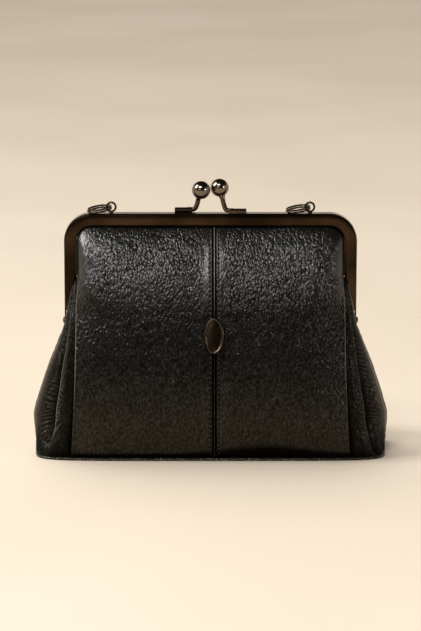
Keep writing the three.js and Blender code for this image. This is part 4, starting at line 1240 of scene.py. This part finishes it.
def clasp(side, face, node):
    """Bar, pin, stem and ball of one half. The ball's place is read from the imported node. The stem swells
    into the collar by 1 + 0.38 exp(-(d / 1.1)^2), where d is the distance from the ball's surface."""
    low, high = box_mm(node)
    centre = np.array([
        low[0] + BALL_RADIUS if side > 0 else high[0] - BALL_RADIUS,
        high[1] - BALL_RADIUS if face < 0 else low[1] + BALL_RADIUS,
        high[2] - BALL_RADIUS,
    ])
    bottom = FRAME_TOP + BAR_LIFT
    level = bottom + STEM_RADIUS + STEM_LIFT
    y = face * POST_Y
    bends = [(side * (BAR_NEAR - inwards), share * y, level + up) for inwards, share, up in STEM_BENDS]
    line = bent_line([*bends, centre], 48)
    onward = unit(np.gradient(line, axis=0))
    across = unit(np.cross(onward, (0, 1, 0)))
    to_ball = np.linalg.norm(line - centre, axis=-1)
    radius = STEM_RADIUS * (1 + COLLAR_SWELL * near(to_ball, BALL_RADIUS, COLLAR_WIDTH))
    stem = loft(tube(line, across, np.cross(across, onward), radius, radius, 20))
    near_corner = side * BAR_NEAR, y - BAR_DEPTH / 2, bottom
    bar = slab(near_corner, (side * BAR_FAR, y + BAR_DEPTH / 2, bottom + BAR_HEIGHT), BAR_BEVEL)
    pin_x = side * (BAR_NEAR + BAR_FAR) / 2
    pin = loft(lathe([(PIN_RADIUS, PIN_END), (PIN_RADIUS, bottom + PIN_TOP)], 16) + (pin_x, y, 0))
    return joined(bar, pin, stem), ball(centre, BALL_RADIUS)


for side, (face_name, face) in zip((1, -1), FACES.items()):
    node = f"{face_name}_clasp"
    wire, globe = clasp(side, face, node)
    make_piece(f"{node}_wire", wire, fitting_metal, [node], sharp=40)
    make_piece(f"{node}_ball", globe, ball_metal, [node], sharp=40)

# %% [markdown]
# ### Eyelets and split rings
# The strap is left off, but its two split rings stay, each looped through an eyelet on the front half.
# A split ring is a wire of two turns pressed flat on each other, with a short step where it climbs from one
# turn to the next, and two cut ends. The rings hang on bodies of their own, so they can swing.

# %% Eyelets and rings
EYELET_RADIUS, EYELET_WIRE, EYELET_PIN_RADIUS = 3.15, 0.75, 0.9
EYELET_FOOT = ((1.55, 0), (1.7, 0.15), (1.7, 0.5), (1.45, 0.85), (0.95, 1.15))  # radius, height
RING_RADIUS, RING_ACROSS, RING_UP = 8.1, 0.75, 0.675
RING_OFFSET, RING_PITCH, RING_JOG, RING_START = 8.25, 1.5, 0.7, 3.58
RING_LEAN, RING_FORWARD = 0.162, 0.052
RING_END, RING_END_LENGTH = 0.72, (-0.02, 0.45)  # share of the wire at a cut end, and where it grows


def eyelet_middle(side_name):
    """The middle of an eyelet's loop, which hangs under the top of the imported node's box."""
    low, high = box_mm(f"eyelet_{side_name}")
    return np.array([(low[0] + high[0]) / 2, (low[1] + high[1]) / 2, high[2] - EYELET_RADIUS - EYELET_WIRE])


def eyelet(side_name):
    """A wire loop, middle + radius (cos v, 0, sin v), on a small lathed foot that is pinned to the frame."""
    middle = eyelet_middle(side_name)
    turn = circle(48)[:, None]
    out = np.concatenate([np.cos(turn), 0 * turn, np.sin(turn)], axis=-1)
    side = np.broadcast_to((0, 1, 0), out.shape)
    loop = tube(middle + EYELET_RADIUS * out, out, side, EYELET_WIRE, EYELET_WIRE, 16)
    bottom = FRAME_TOP + BAR_LIFT
    foot = lathe([(radius, bottom + height) for radius, height in EYELET_FOOT], 24)
    pin = lathe([(EYELET_PIN_RADIUS, PIN_END), (EYELET_PIN_RADIUS, bottom + 0.5)], 16)
    upright = (middle[0], middle[1], 0)
    return joined(loft(loop, closed_path=True), loft(foot + upright), loft(pin + upright))


def turning(angle, first, second):
    """The turn by an angle that carries axis first towards axis second, as a 3 by 3 array."""
    made = np.eye(3)
    made[[first, second], [first, second]] = math.cos(angle)
    made[second, first], made[first, second] = math.sin(angle), -math.sin(angle)
    return made


def split_ring(side_name, steps=180):
    """Two turns: radius (cos v, sin v), and a height that eases from one turn's level to the other's."""
    turned = np.linspace(0, 4 * np.pi - RING_JOG, steps)
    angle = RING_START + turned
    rise = ease(turned, 2 * np.pi - RING_JOG, 2 * np.pi)
    out = np.stack([np.cos(angle), np.sin(angle), 0 * angle], axis=-1)
    line = RING_RADIUS * out + np.stack([0 * angle, 0 * angle, RING_PITCH * (rise - 0.5)], axis=-1)
    up = np.broadcast_to((0, 0, 1), out.shape)
    from_end = np.minimum(turned, turned[-1] - turned) * RING_RADIUS
    blunt = RING_END + (1 - RING_END) * ease(from_end, *RING_END_LENGTH)
    points = tube(line, out, up, RING_ACROSS * blunt, RING_UP * blunt, 16) - (RING_OFFSET, 0, 0)
    hung = turning(RING_FORWARD, 1, 2) @ turning(RING_LEAN, 0, 2)
    return loft(points @ hung.T + eyelet_middle(side_name))


for side_name in SIDES:
    node = f"eyelet_{side_name}"
    make_piece(f"{node}_metal", eyelet(side_name), ring_metal, [node], sharp=40)
    node, body = f"split_ring_{side_name}", f"ring_{side_name}"
    make_piece(f"{node}_wire", split_ring(side_name), ring_metal, [node], body, sharp=40)
    print(node, "packed box", np.round(box_mm(node), 2).tolist())

# %% [markdown]
# ### Ornament
# A small oval plate sits on the middle seam. It is plain: a raised rim round a gently domed field. The
# plate is a stack of ovals, each drawn in by some amount at some height, and it leans back with the panel.

# %% Ornament
PLATE_HALF_WIDTH, PLATE_HALF_HEIGHT = 6.6, 12.2
PLATE_Z, PLATE_GAP, PLATE_LEAN = 88.0, 0.6, 0.21
PLATE_ROWS = (  # drawn in, height above the back
    (0.35, 0.0), (0.08, 0.1), (0.0, 0.35), (0.0, 0.85), (0.08, 1.15), (0.3, 1.35), (0.6, 1.4), (0.9, 1.35),
    (1.15, 1.2), (1.3, 1.0), (1.42, 0.92), (1.7, 0.92), (2.4, 0.98), (3.4, 1.06), (4.6, 1.12), (5.8, 1.15),
)


def ornament(steps=96):
    """Ovals ((a - inset) cos v, (b - inset) sin v) at their heights, leaned back and set on the panel."""
    turn = circle(steps)
    inset, height = np.array(PLATE_ROWS).T[:, :, None]
    across, up = (PLATE_HALF_WIDTH - inset) * np.cos(turn), (PLATE_HALF_HEIGHT - inset) * np.sin(turn)
    cos, sin = math.cos(PLATE_LEAN), math.sin(PLATE_LEAN)
    back = -panel_depth(SEAM_X, PLATE_Z) - PLATE_GAP
    parts = SEAM_X + across, back + sin * up - cos * height, PLATE_Z + cos * up + sin * height
    return loft(np.stack(parts, axis=-1))


make_piece("ornament_plate_metal", ornament(), fitting_metal, ["ornament_plate"])
print("packed box", np.round(box_mm("ornament_plate"), 2).tolist())

# %% [markdown]
# ## Floor
# The floor isn't part of the bag.

# %% Floor
FLOOR_HALF = 14.0

floor_points = np.array([(-1, -1, 0), (1, -1, 0), (1, 1, 0), (-1, 1, 0)]) * FLOOR_HALF
floor_mesh = bpy.data.meshes.new("floor")
floor_mesh.from_pydata(floor_points.tolist(), [], [(0, 1, 2, 3)])
floor_mesh.materials.append(floor_finish)
floor = bpy.data.objects.new("floor", floor_mesh)
scene.collection.objects.link(floor)
